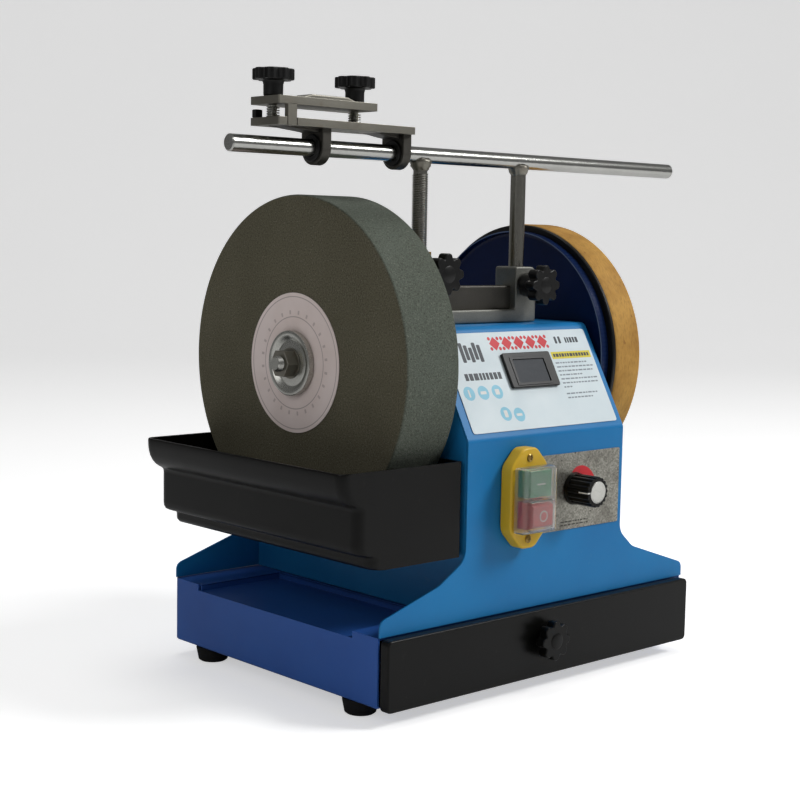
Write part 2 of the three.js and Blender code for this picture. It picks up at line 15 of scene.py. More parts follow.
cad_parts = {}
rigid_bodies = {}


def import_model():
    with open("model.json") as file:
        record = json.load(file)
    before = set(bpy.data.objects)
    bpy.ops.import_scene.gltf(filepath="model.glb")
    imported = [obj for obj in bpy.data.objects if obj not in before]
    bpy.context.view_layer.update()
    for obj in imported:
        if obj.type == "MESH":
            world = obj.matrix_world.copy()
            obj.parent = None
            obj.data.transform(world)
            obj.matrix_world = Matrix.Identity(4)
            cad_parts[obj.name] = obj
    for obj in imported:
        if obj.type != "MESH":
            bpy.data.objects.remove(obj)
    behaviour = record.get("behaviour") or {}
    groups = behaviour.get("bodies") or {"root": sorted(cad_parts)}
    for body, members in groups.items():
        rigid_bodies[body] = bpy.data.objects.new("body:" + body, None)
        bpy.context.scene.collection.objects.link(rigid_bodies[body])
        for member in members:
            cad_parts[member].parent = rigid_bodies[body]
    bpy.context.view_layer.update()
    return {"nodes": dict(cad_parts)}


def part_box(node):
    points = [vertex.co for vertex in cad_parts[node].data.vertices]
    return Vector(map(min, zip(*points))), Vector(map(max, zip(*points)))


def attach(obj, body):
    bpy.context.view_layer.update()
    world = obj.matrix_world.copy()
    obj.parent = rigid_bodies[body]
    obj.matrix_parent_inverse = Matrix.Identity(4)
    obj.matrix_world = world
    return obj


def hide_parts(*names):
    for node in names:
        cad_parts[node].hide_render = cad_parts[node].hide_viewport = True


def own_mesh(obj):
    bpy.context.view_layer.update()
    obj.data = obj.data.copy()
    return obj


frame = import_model()

# %% [markdown]
# ## From the spindle to the model's place
# The spindle's end at the stone's outer face is a handy zero for measuring. The stone's own CAD
# box tells where that zero is, so nothing has to be typed twice.

# %% The spindle's zero
stone_low, stone_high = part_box("grinding_stone")
ZERO = Vector((stone_low.x, (stone_low.y + stone_high.y) / 2, (stone_low.z + stone_high.z) / 2))
TO_PLACE = Matrix.Translation(ZERO) @ Matrix.Scale(0.001, 4)
print("spindle zero:", [round(v, 4) for v in ZERO])


def near(x, y, z):
    """A point measured from the spindle, in millimetres, as a place in the model."""
    return TO_PLACE @ Vector((x, y, z))


# %% [markdown]
# ## Finishes: effects that several finishes share
# Real surfaces are never even. Three small node groups are used again and again: soft mottling
# with a fine grain, long scratches, and wear where an edge sticks out. Each gives only masks, so
# every finish decides for itself what they do.

# %% Node helpers
def new_group(name, inputs, outputs):
    group = bpy.data.node_groups.new(name, "ShaderNodeTree")
    for label, value in inputs.items():
        socket = group.interface.new_socket(label, in_out="INPUT", socket_type="NodeSocketFloat")
        socket.default_value = value
    for label in outputs:
        group.interface.new_socket(label, in_out="OUTPUT", socket_type="NodeSocketFloat")
    return group, group.nodes.new("NodeGroupInput"), group.nodes.new("NodeGroupOutput")


def add_node(tree, kind, inputs=None, **settings):
    """Adds a node; an input may be a number, a colour or another node's output."""
    node = tree.nodes.new(kind)
    for key, value in settings.items():
        setattr(node, key, value)
    for key, value in (inputs or {}).items():
        if isinstance(value, bpy.types.NodeSocket):
            tree.links.new(value, node.inputs[key])
        else:
            node.inputs[key].default_value = value
    return node


def spread(tree, value, low, high, to_low=0.0, to_high=1.0):
    """Maps a value from one span to another, and holds it at the ends."""
    inputs = {"Value": value, "From Min": low, "From Max": high, "To Min": to_low, "To Max": to_high}
    return add_node(tree, "ShaderNodeMapRange", inputs).outputs["Result"]


def calc(tree, operation, a, b=0.0):
    return add_node(tree, "ShaderNodeMath", {0: a, 1: b}, operation=operation).outputs[0]


def place(tree, scale=(1, 1, 1), offset=(0, 0, 0)):
    """Object coordinates, stretched, for a pattern that has a direction."""
    where = add_node(tree, "ShaderNodeTexCoord").outputs["Object"]
    inputs = {"Vector": where, "Scale": scale, "Location": offset}
    return add_node(tree, "ShaderNodeMapping", inputs).outputs["Vector"]


def noise_of(tree, vector, scale, detail=4.0, roughness=0.5):
    inputs = {"Vector": vector, "Scale": scale, "Detail": detail, "Roughness": roughness}
    return add_node(tree, "ShaderNodeTexNoise", inputs).outputs["Fac"]


# %% Mottle: slow unevenness and a fine grain
mottle_group, given, taken = new_group("mottle", {"Slow": 12.0, "Fine": 900.0}, ["Slow", "Fine"])
where = place(mottle_group)
for label, span in (("Slow", (0.3, 0.7)), ("Fine", (0.25, 0.75))):
    cloud = noise_of(mottle_group, where, given.outputs[label], 5.0)
    mottle_group.links.new(spread(mottle_group, cloud, *span), taken.inputs[label])

# %% Scratches: thin lines that lie along one way
scratch_group, given, taken = new_group("scratches", {"Amount": 0.5}, ["Lines", "Handling"])
for label, stretch, scale, low in (("Lines", (1, 14, 14), 120.0, 0.62),
    ("Handling", (4, 1, 2.5), 45.0, 0.66)):
    streak = noise_of(scratch_group, place(scratch_group, stretch), scale, 6.0, 0.6)
    mask = spread(scratch_group, streak, low, low + 0.06)
    strength = calc(scratch_group, "MULTIPLY", mask, given.outputs["Amount"])
    scratch_group.links.new(strength, taken.inputs[label])

# %% Edge wear: where the surface turns sharply
edge_group, given, taken = new_group("edge_wear", {"Width": 0.0006}, ["Worn"])
rounded = add_node(edge_group, "ShaderNodeBevel", {"Radius": given.outputs["Width"]},
    samples=4).outputs["Normal"]
flat = add_node(edge_group, "ShaderNodeNewGeometry").outputs["Normal"]
turned_away = add_node(edge_group, "ShaderNodeVectorMath", {0: rounded, 1: flat},
    operation="DOT_PRODUCT").outputs["Value"]
breakup = noise_of(edge_group, place(edge_group), 220.0, 5.0)
raised = spread(edge_group, turned_away, 0.97, 0.88)
worn = calc(edge_group, "MULTIPLY", raised, spread(edge_group, breakup, 0.4, 0.62))
edge_group.links.new(worn, taken.inputs["Worn"])
print("effects:", [g.name for g in bpy.data.node_groups])


# %% [markdown]
# ## One recipe for most finishes
# Paint, plastic and metal differ in colour, gloss and grain, but are uneven in the same ways. So
# one recipe takes those values, lays the shared effects into a Principled shader, and leaves room
# for a finish to add its own pattern to the colour or the height.

# %% The finish recipe
class Finish:
    """A material under construction, with its tree and its shader to hand."""

    def __init__(self, name, metallic=0.0, coat=0.0, ior=1.5, specular=0.5):
        self.material = bpy.data.materials.new(name)
        self.material.use_nodes = True
        self.tree = self.material.node_tree
        self.shader = self.tree.nodes["Principled BSDF"]
        self.shader.inputs["Metallic"].default_value = metallic
        self.shader.inputs["Coat Weight"].default_value = coat
        self.shader.inputs["IOR"].default_value = ior
        self.shader.inputs["Specular IOR Level"].default_value = specular
        self.height = None
        self.colour = None

    def effect(self, group, **values):
        node = add_node(self.tree, "ShaderNodeGroup", node_tree=group)
        for label, value in values.items():
            node.inputs[label].default_value = value
        return node.outputs

    def mix(self, mask, a, b):
        node = add_node(self.tree, "ShaderNodeMix", data_type="RGBA")
        for socket, value in zip((node.inputs[0], node.inputs[6], node.inputs[7]), (mask, a, b)):
            if isinstance(value, bpy.types.NodeSocket):
                self.tree.links.new(value, socket)
            else:
                socket.default_value = value
        return node.outputs[2]

    def bumps(self, *layers):
        """Height layers as (value, depth in millimetres), from the coarsest to the finest."""
        for value, depth in layers:
            inputs = {"Height": value, "Distance": depth / 1000.0, "Strength": 1.0}
            bump = add_node(self.tree, "ShaderNodeBump", inputs)
            if self.height is not None:
                self.tree.links.new(self.height, bump.inputs["Normal"])
            self.height = bump.outputs["Normal"]

    def done(self, colour, roughness):
        self.tree.links.new(colour, self.shader.inputs["Base Color"])
        self.tree.links.new(roughness, self.shader.inputs["Roughness"])
        if self.height is not None:
            self.tree.links.new(self.height, self.shader.inputs["Normal"])
        return self.material


def linear(red, green, blue):
    """A colour given in everyday 0 to 255 numbers, as the linear light a shader works in."""
    parts = [c / 255.0 for c in (red, green, blue)]
    return (*[p / 12.92 if p <= 0.04045 else ((p + 0.055) / 1.055) ** 2.4 for p in parts], 1.0)


def plain_finish(name, light, dark, worn, rough, grain, depth, slow=14.0, wear=0.35, **shader):
    """Colour drifts from light to dark, edges go to the worn colour, and a fine grain sits on top."""
    f = Finish(name, **shader)
    mottle = f.effect(mottle_group, Slow=slow, Fine=grain)
    scratch = f.effect(scratch_group, Amount=0.6)
    edge = f.effect(edge_group)["Worn"]
    base = f.mix(mottle["Slow"], linear(*dark), linear(*light))
    marked = f.mix(calc(f.tree, "MULTIPLY", scratch["Handling"], 0.18), base, linear(*worn))
    colour = f.mix(calc(f.tree, "MULTIPLY", edge, wear), marked, linear(*worn))
    gloss = spread(f.tree, mottle["Slow"], 0.0, 1.0, rough[0], rough[1])
    gloss = calc(f.tree, "ADD", gloss, calc(f.tree, "MULTIPLY", scratch["Handling"], 0.16))
    f.bumps((mottle["Slow"], depth * 2), (mottle["Fine"], depth))
    return f.done(colour, gloss)


# %% Painted sheet steel and plastics
blue_paint = plain_finish("blue_paint", (32, 124, 184), (26, 114, 174), (110, 152, 176),
                          (0.34, 0.44), 700.0, 0.006, specular=0.22)
navy_paint = plain_finish("navy_paint", (48, 94, 172), (42, 84, 160), (86, 104, 150),
                          (0.32, 0.42), 700.0, 0.006, specular=0.25)
black_gloss = plain_finish("black_gloss", (10, 10, 9), (8, 8, 7), (60, 60, 58),
                           (0.28, 0.38), 900.0, 0.01, specular=0.2)
black_moulded = plain_finish("black_moulded", (14, 14, 14), (10, 10, 10), (64, 64, 62),
                             (0.3, 0.42), 1400.0, 0.015, specular=0.32)
rubber_black = plain_finish("rubber_black", (18, 18, 18), (12, 12, 12), (40, 40, 40),
                            (0.7, 0.85), 1200.0, 0.05, specular=0.3)
yellow_plastic = plain_finish("yellow_plastic", (222, 182, 36), (212, 170, 28), (238, 214, 120),
                              (0.38, 0.5), 1500.0, 0.02)
green_plastic = plain_finish("green_plastic", (32, 140, 88), (26, 128, 80), (90, 170, 130),
                             (0.26, 0.36), 1500.0, 0.01)
red_plastic = plain_finish("red_plastic", (200, 42, 44), (188, 36, 38), (220, 120, 110),
                           (0.26, 0.36), 1500.0, 0.01)
board_green = plain_finish("board_green", (40, 104, 62), (32, 88, 52), (150, 130, 70),
                           (0.4, 0.5), 800.0, 0.02)
print("paints and plastics:", len(bpy.data.materials))


# %% [markdown]
# ## Metals
# Turned and milled steel is bright with fine lines along the tool's path; a cast bracket is grey
# with a sandy skin; the bar is plated and nearly a mirror. The lines come from noise squeezed
# along one axis, so the direction is a value of each metal.

# %% Metal recipe
def metal(name, light, dark, rough, lines, depth=0.004, sandy=0.0, rust=0.0):
    f = Finish(name, metallic=1.0)
    mottle = f.effect(mottle_group, Slow=20.0, Fine=600.0)
    edge = f.effect(edge_group)["Worn"]
    streaks = spread(f.tree, noise_of(f.tree, place(f.tree, lines), 260.0, 6.0, 0.7), 0.3, 0.7)
    base = f.mix(mottle["Slow"], linear(*dark), linear(*light))
    toned = f.mix(calc(f.tree, "MULTIPLY", streaks, 0.3), base, linear(*[c * 0.72 for c in light]))
    if rust:
        patch = spread(f.tree, noise_of(f.tree, place(f.tree), 90.0, 6.0, 0.65), 0.56, 0.7)
        toned = f.mix(calc(f.tree, "MULTIPLY", patch, rust), toned, linear(112, 84, 62))
    colour = f.mix(calc(f.tree, "MULTIPLY", edge, 0.5), toned,
        linear(*[min(255, c * 1.15) for c in light]))
    gloss = spread(f.tree, streaks, 0.0, 1.0, rough[0], rough[1])
    f.bumps((streaks, depth))
    if sandy:
        f.bumps((noise_of(f.tree, place(f.tree), 1100.0, 3.0), sandy))
    return f.done(colour, gloss)


turned_steel = metal("turned_steel", (196, 196, 190), (176, 176, 170), (0.22, 0.34), (1, 12, 12))
milled_steel = metal("milled_steel", (150, 147, 137), (126, 123, 114), (0.34, 0.5), (2, 16, 16), 0.006,
    0.012, 0.2)
leg_steel = metal("leg_steel", (172, 170, 162), (146, 144, 136), (0.16, 0.28), (14, 14, 1), 0.003, 0.0,
    0.1)
bar_chrome = metal("bar_chrome", (196, 196, 192), (178, 178, 174), (0.16, 0.26), (1, 10, 10), 0.001,
    0.0, 0.05)
cast_metal = metal("cast_metal", (150, 150, 144), (118, 118, 112), (0.42, 0.6), (4, 4, 4), 0.02, 0.12)
dark_cast = metal("dark_cast", (92, 90, 85), (68, 66, 62), (0.4, 0.55), (4, 4, 4), 0.02, 0.1)
cap_metal = metal("cap_metal", (222, 222, 216), (196, 196, 190), (0.18, 0.32), (6, 6, 6), 0.004)
brass_metal = metal("brass_metal", (176, 146, 84), (146, 118, 64), (0.25, 0.4), (8, 8, 2))
print("metals added, materials now:", len(bpy.data.materials))

# %% [markdown]
# ## The stone, its paper disc and the leather
# A grinding stone is millions of grains in a glassy bond: it looks speckled from near, and its
# running surface is a touch greener than its flat side. The paper disc carries only plain rings.
# The leather is rough side out, with long fibres round the wheel and darker, oily patches.


# %% Distance from the spindle, for patterns that go round it
def spindle_radius(tree):
    """Distance from the spindle's axis in metres, and the angle round it in turns."""
    where = place(tree, offset=(0, -ZERO.y, -ZERO.z))
    parts = add_node(tree, "ShaderNodeSeparateXYZ", {"Vector": where}).outputs
    y2, z2 = calc(tree, "POWER", calc(tree, "ABSOLUTE", parts["Y"]), 2.0), calc(tree, "POWER",
        calc(tree, "ABSOLUTE", parts["Z"]), 2.0)
    return calc(tree, "SQRT", calc(tree, "ADD", y2, z2)), calc(tree, "ARCTAN2", parts["Y"], parts["Z"])


# %% Grinding stone
f = Finish("stone_grit", specular=0.2)
radius, _ = spindle_radius(f.tree)
tread = spread(f.tree, radius, 0.1236, 0.1248)
base = f.mix(tread, linear(100, 96, 79), linear(94, 101, 92))
grains = noise_of(f.tree, place(f.tree), 900.0, 3.0, 0.7)
big_grains = noise_of(f.tree, place(f.tree), 330.0, 4.0, 0.6)
cloud = spread(f.tree, noise_of(f.tree, place(f.tree), 18.0, 6.0), 0.3, 0.7)
dark_grains = calc(f.tree, "MULTIPLY", spread(f.tree, grains, 0.5, 0.36), 0.6)
light_grains = calc(f.tree, "MULTIPLY", spread(f.tree, grains, 0.58, 0.68), 0.5)
shade = f.mix(dark_grains, base, linear(46, 45, 36))
shade = f.mix(light_grains, shade, linear(150, 150, 136))
shade = f.mix(calc(f.tree, "MULTIPLY", cloud, 0.22), shade, linear(60, 58, 46))
f.bumps((big_grains, 0.35), (grains, 0.25))
stone_grit = f.done(shade, spread(f.tree, cloud, 0, 1, 0.82, 0.95))

# %% Paper disc on the stone
f = Finish("disc_paper", specular=0.25)
radius, angle = spindle_radius(f.tree)
fibre = noise_of(f.tree, place(f.tree), 700.0, 5.0)
stain = spread(f.tree, noise_of(f.tree, place(f.tree), 26.0, 5.0), 0.4, 0.7)
sheet = f.mix(stain, linear(236, 222, 218), linear(224, 208, 202))
for at in (0.0495, 0.0345):
    ring = spread(f.tree, calc(f.tree, "ABSOLUTE", calc(f.tree, "SUBTRACT", radius, at)), 0.00045,
        0.00025)
    sheet = f.mix(calc(f.tree, "MULTIPLY", ring, 0.55), sheet, linear(120, 104, 104))
ticks = calc(f.tree, "ABSOLUTE", calc(f.tree, "SINE", calc(f.tree, "MULTIPLY", angle, 12.0)))
band = calc(f.tree, "MULTIPLY", spread(f.tree, radius, 0.0362, 0.0366),
    spread(f.tree, radius, 0.0396, 0.0392))
tick_mask = calc(f.tree, "MULTIPLY", spread(f.tree, ticks, 0.94, 0.97), band)
sheet = f.mix(calc(f.tree, "MULTIPLY", tick_mask, 0.4), sheet, linear(130, 110, 110))
f.bumps((fibre, 0.02))
disc_paper = f.done(sheet, spread(f.tree, fibre, 0, 1, 0.6, 0.8))

# %% Drive disc: glossy navy, partly darkened as painted shade, with a painted highlight ring near its rim
f = Finish("disc_paint", coat=0.05, specular=0.15)
radius, angle = spindle_radius(f.tree)
mottle = f.effect(mottle_group, Slow=14.0, Fine=600.0)
# Partly painted shade: the navy is darkened to the shade that lies on the disc's left face.
shaded_navy = f.mix(mottle["Slow"], linear(10, 30, 70), linear(8, 24, 58))
# Painted highlight: a light ring on the rim's lip, where its edge catches the light.
rim_highlight = spread(f.tree, calc(f.tree, "ABSOLUTE", calc(f.tree, "SUBTRACT", radius, 0.1014)), 0.0006,
    0.0003)
f.bumps((mottle["Fine"], 0.004))
disc_paint = f.done(f.mix(calc(f.tree, "MULTIPLY", rim_highlight, 0.75), shaded_navy, linear(96, 112, 140)),
                    spread(f.tree, mottle["Slow"], 0, 1, 0.2, 0.3))

# %% Leather on the honing wheel
f = Finish("honing_leather", specular=0.3)
radius, angle = spindle_radius(f.tree)
around = calc(f.tree, "MULTIPLY", angle, 0.108)
across = add_node(f.tree, "ShaderNodeSeparateXYZ", {"Vector": place(f.tree)}).outputs["X"]
wrap = add_node(f.tree, "ShaderNodeCombineXYZ", {"X": calc(f.tree, "MULTIPLY", around, 0.35),
    "Y": across, "Z": radius}).outputs[0]
fibres = noise_of(f.tree, wrap, 620.0, 7.0, 0.62)
patches = spread(f.tree, noise_of(f.tree, place(f.tree), 42.0, 5.0), 0.38, 0.66)
hide = f.mix(patches, linear(192, 147, 72), linear(166, 122, 54))
hide = f.mix(calc(f.tree, "MULTIPLY", spread(f.tree, fibres, 0.55, 0.3), 0.5), hide,
    linear(128, 90, 40))
spots = spread(f.tree, noise_of(f.tree, place(f.tree), 150.0, 3.0), 0.66, 0.72)
hide = f.mix(calc(f.tree, "MULTIPLY", spots, 0.5), hide, linear(120, 74, 34))
f.bumps((patches, 0.08), (fibres, 0.12))
honing_leather = f.done(hide, spread(f.tree, fibres, 0, 1, 0.62, 0.82))
print("stone, paper and leather done")

# %% [markdown]
# ## Printed film, dial plate, clear plastic and display
# The control panel is white film with printed colours. The dial plate is etched metal with a fine
# sparkle. The splash cover over the switch is clear soft plastic, slightly milky and uneven.


# %% Printed colours
def ink(name, colour, second=None):
    f = Finish(name, specular=0.3)
    mottle = f.effect(mottle_group, Slow=40.0, Fine=1600.0)
    shade = f.mix(mottle["Slow"], linear(*colour), linear(*(second or [c * 0.95 for c in colour])))
    f.bumps((mottle["Fine"], 0.004))
    return f.done(shade, spread(f.tree, mottle["Slow"], 0, 1, 0.42, 0.52))


film_white = ink("film_white", (214, 225, 229), (206, 219, 224))
ink_red = ink("ink_red", (206, 40, 50))
ink_yellow = ink("ink_yellow", (222, 206, 58))
ink_blue = ink("ink_blue", (140, 200, 222))
ink_grey = ink("ink_grey", (128, 138, 146))
ink_black = ink("ink_black", (62, 68, 74))
ink_dark = ink("ink_dark", (70, 68, 62))
ink_white = ink("ink_white", (226, 226, 222))

# %% Sparkling dial plate
f = Finish("dial_metal", metallic=0.9)
flakes = add_node(f.tree, "ShaderNodeTexVoronoi", {"Vector": place(f.tree),
    "Scale": 900.0}).outputs["Color"]
tone = add_node(f.tree, "ShaderNodeSeparateColor", {"Color": flakes}).outputs[0]
haze = noise_of(f.tree, place(f.tree), 60.0, 6.0)
plate = f.mix(tone, linear(128, 126, 118), linear(176, 174, 164))
plate = f.mix(spread(f.tree, haze, 0.5, 0.7, 0, 0.4), plate, linear(96, 92, 86))
f.bumps((tone, 0.02))
dial_metal = f.done(plate, spread(f.tree, haze, 0.3, 0.7, 0.3, 0.5))

# %% Clear cover and display lens
f = Finish("clear_cover", ior=1.42)
f.shader.inputs["Transmission Weight"].default_value = 0.94
ripple = noise_of(f.tree, place(f.tree), 60.0, 3.0)
f.bumps((ripple, 0.15))
clear_cover = f.done(f.mix(ripple, (0.93, 0.95, 0.92, 1), (0.98, 0.98, 0.97, 1)),
    spread(f.tree, ripple, 0.3, 0.7, 0.14, 0.24))
f = Finish("display_lens", coat=0.2, specular=0.2)
dust = noise_of(f.tree, place(f.tree), 300.0, 5.0)
segment = f.mix(spread(f.tree, dust, 0.6, 0.75, 0, 0.25), linear(44, 49, 55), linear(84, 90, 94))
display_lens = f.done(segment, spread(f.tree, dust, 0.3, 0.7, 0.42, 0.5))
print("all finishes:", len(bpy.data.materials))


# %% [markdown]
# ## Shaping helpers
# Nearly everything here is one of three things: a flat outline pushed out to a thickness, a
# profile spun round an axis, or a folded sheet. Each gets its edges rounded a little, because a
# perfectly sharp edge never catches the light.

# %% Outlines pushed out
AXES = {"x": (Vector((0, 1, 0)), Vector((0, 0, 1)), Vector((1, 0, 0))),
        "y": (Vector((1, 0, 0)), Vector((0, 0, 1)), Vector((0, 1, 0))),
        "z": (Vector((1, 0, 0)), Vector((0, 1, 0)), Vector((0, 0, 1)))}


def round_edges(bm, width, segments=2, angle=28, only=None):
    """Bevels every edge where the surface turns by more than the angle."""
    if width <= 0:
        return
    limit = math.radians(angle)
    edges = [e for e in bm.edges if len(e.link_faces) == 2 and e.calc_face_angle(0) > limit]
    if only:
        edges = [e for e in edges if only(e)]
    bmesh.ops.bevel(bm, geom=edges, offset=width, segments=segments, profile=0.5, affect="EDGES",
                    material=-1, clamp_overlap=True)


def slab(outline, axis, low, high, bevel=0.4, segments=2):
    """A flat outline pushed out between two values of one axis."""
    across, up, along = AXES[axis]
    bm = bmesh.new()
    face = bm.faces.new([bm.verts.new(across * u + up * v + along * low) for u, v in outline])
    pushed = bmesh.ops.extrude_face_region(bm, geom=[face])["geom"]
    bmesh.ops.translate(bm, vec=along * (high - low),
        verts=[g for g in pushed if isinstance(g, bmesh.types.BMVert)])
    bmesh.ops.recalc_face_normals(bm, faces=bm.faces)
    round_edges(bm, bevel, segments)
    return bm


def block(x0, x1, y0, y1, z0, z1, bevel=0.4, segments=2):
    return slab([(x0, y0), (x1, y0), (x1, y1), (x0, y1)], "z", z0, z1, bevel, segments)


def soft_corners(points, radius, steps=5):
    """A closed outline with each corner turned into an arc; a radius per corner is also allowed."""
    radii = radius if isinstance(radius, (list, tuple)) else [radius] * len(points)
    out = []
    for i, (x, y) in enumerate(points):
        here = Vector((x, y))
        back = (Vector(points[i - 1]) - here)
        on = (Vector(points[(i + 1) % len(points)]) - here)
        half = back.angle(on) / 2
        reach = min(radii[i] / math.tan(half), back.length * 0.49, on.length * 0.49)
        if reach < 0.05:
            out.append((x, y))
            continue
        a, b = here + back.normalized() * reach, here + on.normalized() * reach
        for k in range(steps + 1):
            t = k / steps
            p = a * (1 - t) ** 2 + here * (2 * t * (1 - t)) + b * t * t
            out.append((p.x, p.y))
    return out


def circle(cx, cy, r, steps=48):
    return [(cx + r * math.cos(2 * math.pi * i / steps),
        cy + r * math.sin(2 * math.pi * i / steps)) for i in range(steps)]


def star(cx, cy, r, count, depth, steps=12):
    """The outline of a knob with rounded lobes and narrower valleys between them."""
    out = []
    for i in range(count * steps):
        turn = 2 * math.pi * i / (count * steps)
        dip = (0.5 - 0.5 * math.cos(count * turn)) ** 2
        out.append((cx + (r - depth * dip) * math.cos(turn), cy + (r - depth * dip) * math.sin(turn)))
    return out


# %% Profiles spun round
def turning(profile, axis="x", centre=(0, 0, 0), steps=96):
    """A profile of (along, radius) points spun a full turn; it ends on the axis or closes on itself."""
    across, up, along = AXES[axis]
    centre = Vector(centre)
    bm = bmesh.new()
    verts = [bm.verts.new(centre + along * a + up * r) for a, r in profile]
    edges = [bm.edges.new(pair) for pair in zip(verts, verts[1:])]
    if profile[0][1] > 0:
        edges.append(bm.edges.new((verts[-1], verts[0])))
    bmesh.ops.spin(bm, geom=verts + edges, cent=centre, axis=along, angle=2 * math.pi, steps=steps,
        use_merge=True)
    bmesh.ops.remove_doubles(bm, verts=bm.verts, dist=0.0005)
    bmesh.ops.recalc_face_normals(bm, faces=bm.faces)
    return bm


def rod(axis, low, high, r, centre=(0, 0, 0), chamfer=0.6, steps=64):
    c = min(chamfer, r * 0.4)
    return turning([(low, 0), (low, r - c), (low + c, r), (high - c, r), (high, r - c), (high, 0)],
        axis, centre, steps)


def coil(axis, low, high, r, wire, turns, centre=(0, 0, 0), sides=8, steps=20):
    """A wire of round section wound into a helix, made with one long spin that also climbs."""
    across, up, along = AXES[axis]
    centre = Vector(centre)
    bm = bmesh.new()
    bmesh.ops.create_circle(bm, cap_ends=True, segments=sides, radius=wire)
    for v in bm.verts:
        v.co = centre + along * (low + wire + v.co.x) + up * (r + v.co.y)
    total = int(turns * steps)
    climb = along * ((high - low - 2 * wire) / total)
    bmesh.ops.spin(bm, geom=list(bm.faces), cent=centre, axis=along, dvec=climb,
        angle=2 * math.pi * turns, steps=total)
    bmesh.ops.recalc_face_normals(bm, faces=bm.faces)
    return bm


# %% Joining, cutting and finishing a piece
def joined(*parts):
    """Several closed shapes as one mesh."""
    whole = bmesh.new()
    for part in parts:
        mesh = bpy.data.meshes.new("joining")
        part.to_mesh(mesh)
        part.free()
        whole.from_mesh(mesh)
        bpy.data.meshes.remove(mesh)
    return whole


def temporary(bm, name="temporary"):
    mesh = bpy.data.meshes.new(name)
    bm.to_mesh(mesh)
    bm.free()
    obj = bpy.data.objects.new(name, mesh)
    bpy.context.collection.objects.link(obj)
    return obj


def settle(obj):
    """The mesh with its modifiers applied, as a bmesh; the temporary object goes."""
    bpy.context.view_layer.update()
    shape = obj.evaluated_get(bpy.context.evaluated_depsgraph_get()).to_mesh()
    bm = bmesh.new()
    bm.from_mesh(shape)
    obj.to_mesh_clear()
    bpy.data.objects.remove(obj)
    return bm


def cut(bm, *cutters):
    """Takes each cutter out of a shape."""
    body = temporary(bm)
    tools = [temporary(c, "cutter") for c in cutters]
    for tool in tools:
        modifier = body.modifiers.new("cut", "BOOLEAN")
        modifier.operation = "DIFFERENCE"
        modifier.solver = "EXACT"
        modifier.object = tool
    out = settle(body)
    for tool in tools:
        bpy.data.objects.remove(tool)
    return out


def cast(bm, grain=0.9, soften=6):
    """Melts joined blocks into one casting with soft fillets: a remesh, then smoothing."""
    body = temporary(bm)
    remesh = body.modifiers.new("melt", "REMESH")
    remesh.mode = "VOXEL"
    remesh.voxel_size = grain
    smooth = body.modifiers.new("soften", "SMOOTH")
    smooth.factor, smooth.iterations = 0.5, soften
    return settle(body)


made = []


def piece(name, bm, finish, body, stands_for=(), smooth=34):
    """Moves a shape to the model's place, gives it its finish, and lets it ride on its body."""
    bm.transform(TO_PLACE)
    mesh = bpy.data.meshes.new(name)
    bm.to_mesh(mesh)
    bm.free()
    mesh.materials.append(finish)
    mesh.shade_smooth()
    mesh.set_sharp_from_angle(angle=math.radians(smooth))
    obj = bpy.data.objects.new(name, mesh)
    bpy.context.collection.objects.link(obj)
    level = obj.modifiers.new("flat faces stay flat", "WEIGHTED_NORMAL")
    level.keep_sharp = True
    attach(obj, body)
    if stands_for:
        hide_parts(*([stands_for] if isinstance(stands_for, str) else stands_for))
    made.append(name)
    return obj


print("helpers ready")

# %% [markdown]
# ## The stone and what clamps it
# A stone is moulded, so its rims are square with a small break. Its bore sits on the spindle and
# a cupped washer and a nut hold it. Only the left end of the spindle can be seen.

# %% Stone, paper disc, cupped washer, nut
piece("stone", turning([(0, 6.2), (0, 123.6), (0.5, 124.6), (1.4, 125), (48.6, 125), (49.5, 124.6),
    (50, 123.6), (50, 6.2)],
                       steps=180), stone_grit, "spindle", "grinding_stone", 50)
piece("paper_disc", turning([(-0.3, 6.2), (-0.3, 52.4), (-0.7, 52.4), (-0.7, 6.2)], steps=128),
    disc_paper, "spindle",
      "stone_label", 50)
cup = [(-1, 6.2), (-4, 6.2), (-4, 14), (-3.2, 17.2), (-4.4, 19.2), (-5.6, 20.6), (-6, 21.8), (-6, 23.4),
    (-5.6, 24.2),
       (-4.8, 24.5), (-1.6, 24.5), (-1, 24)]
piece("cupped_washer", turning(cup, steps=96), turned_steel, "spindle", "outer_flange", 40)
piece("inner_washer", turning([(50.3, 6.2), (50.3, 29.4), (50.9, 30), (55.1, 30), (55.7, 29.4), (55.7,
    6.2)]), turned_steel,
      "spindle", "inner_flange")
hexagon = [(10.9 * math.cos(math.radians(a)), 10.9 * math.sin(math.radians(a))) for a in range(0, 360,
    60)]
nut = slab(hexagon, "x", -14.4, -4.7, 0.5, 3)
piece("stone_nut_hex", joined(nut, rod("x", -4.9, -4.2, 11.6, chamfer=0.2)), milled_steel, "spindle",
    "stone_nut")

# %% The spindle with its threaded end
shaft = turning([(-19, 0), (-19, 4.6), (-18, 5.4), (-4, 5.4), (-4, 5.9), (55.9, 5.9), (55.9, 8),
    (239.8, 8), (239.8, 5.9),
                 (286, 5.9), (286, 0)], steps=64)
thread = coil("x", -18.4, -12, 5.35, 0.55, 5, sides=4, steps=28)
piece("spindle_shaft", joined(shaft, thread), turned_steel, "spindle", "main_shaft")
print("stone side:", made)

# %% [markdown]
# ## The honing wheel
# A painted steel cup is spun by the motor; a black core with a leather tyre is bolted to it. The
# leather stands a little proud of the core and its rims are pressed round by use.

# %% Drive cup, core, leather, wheel nut


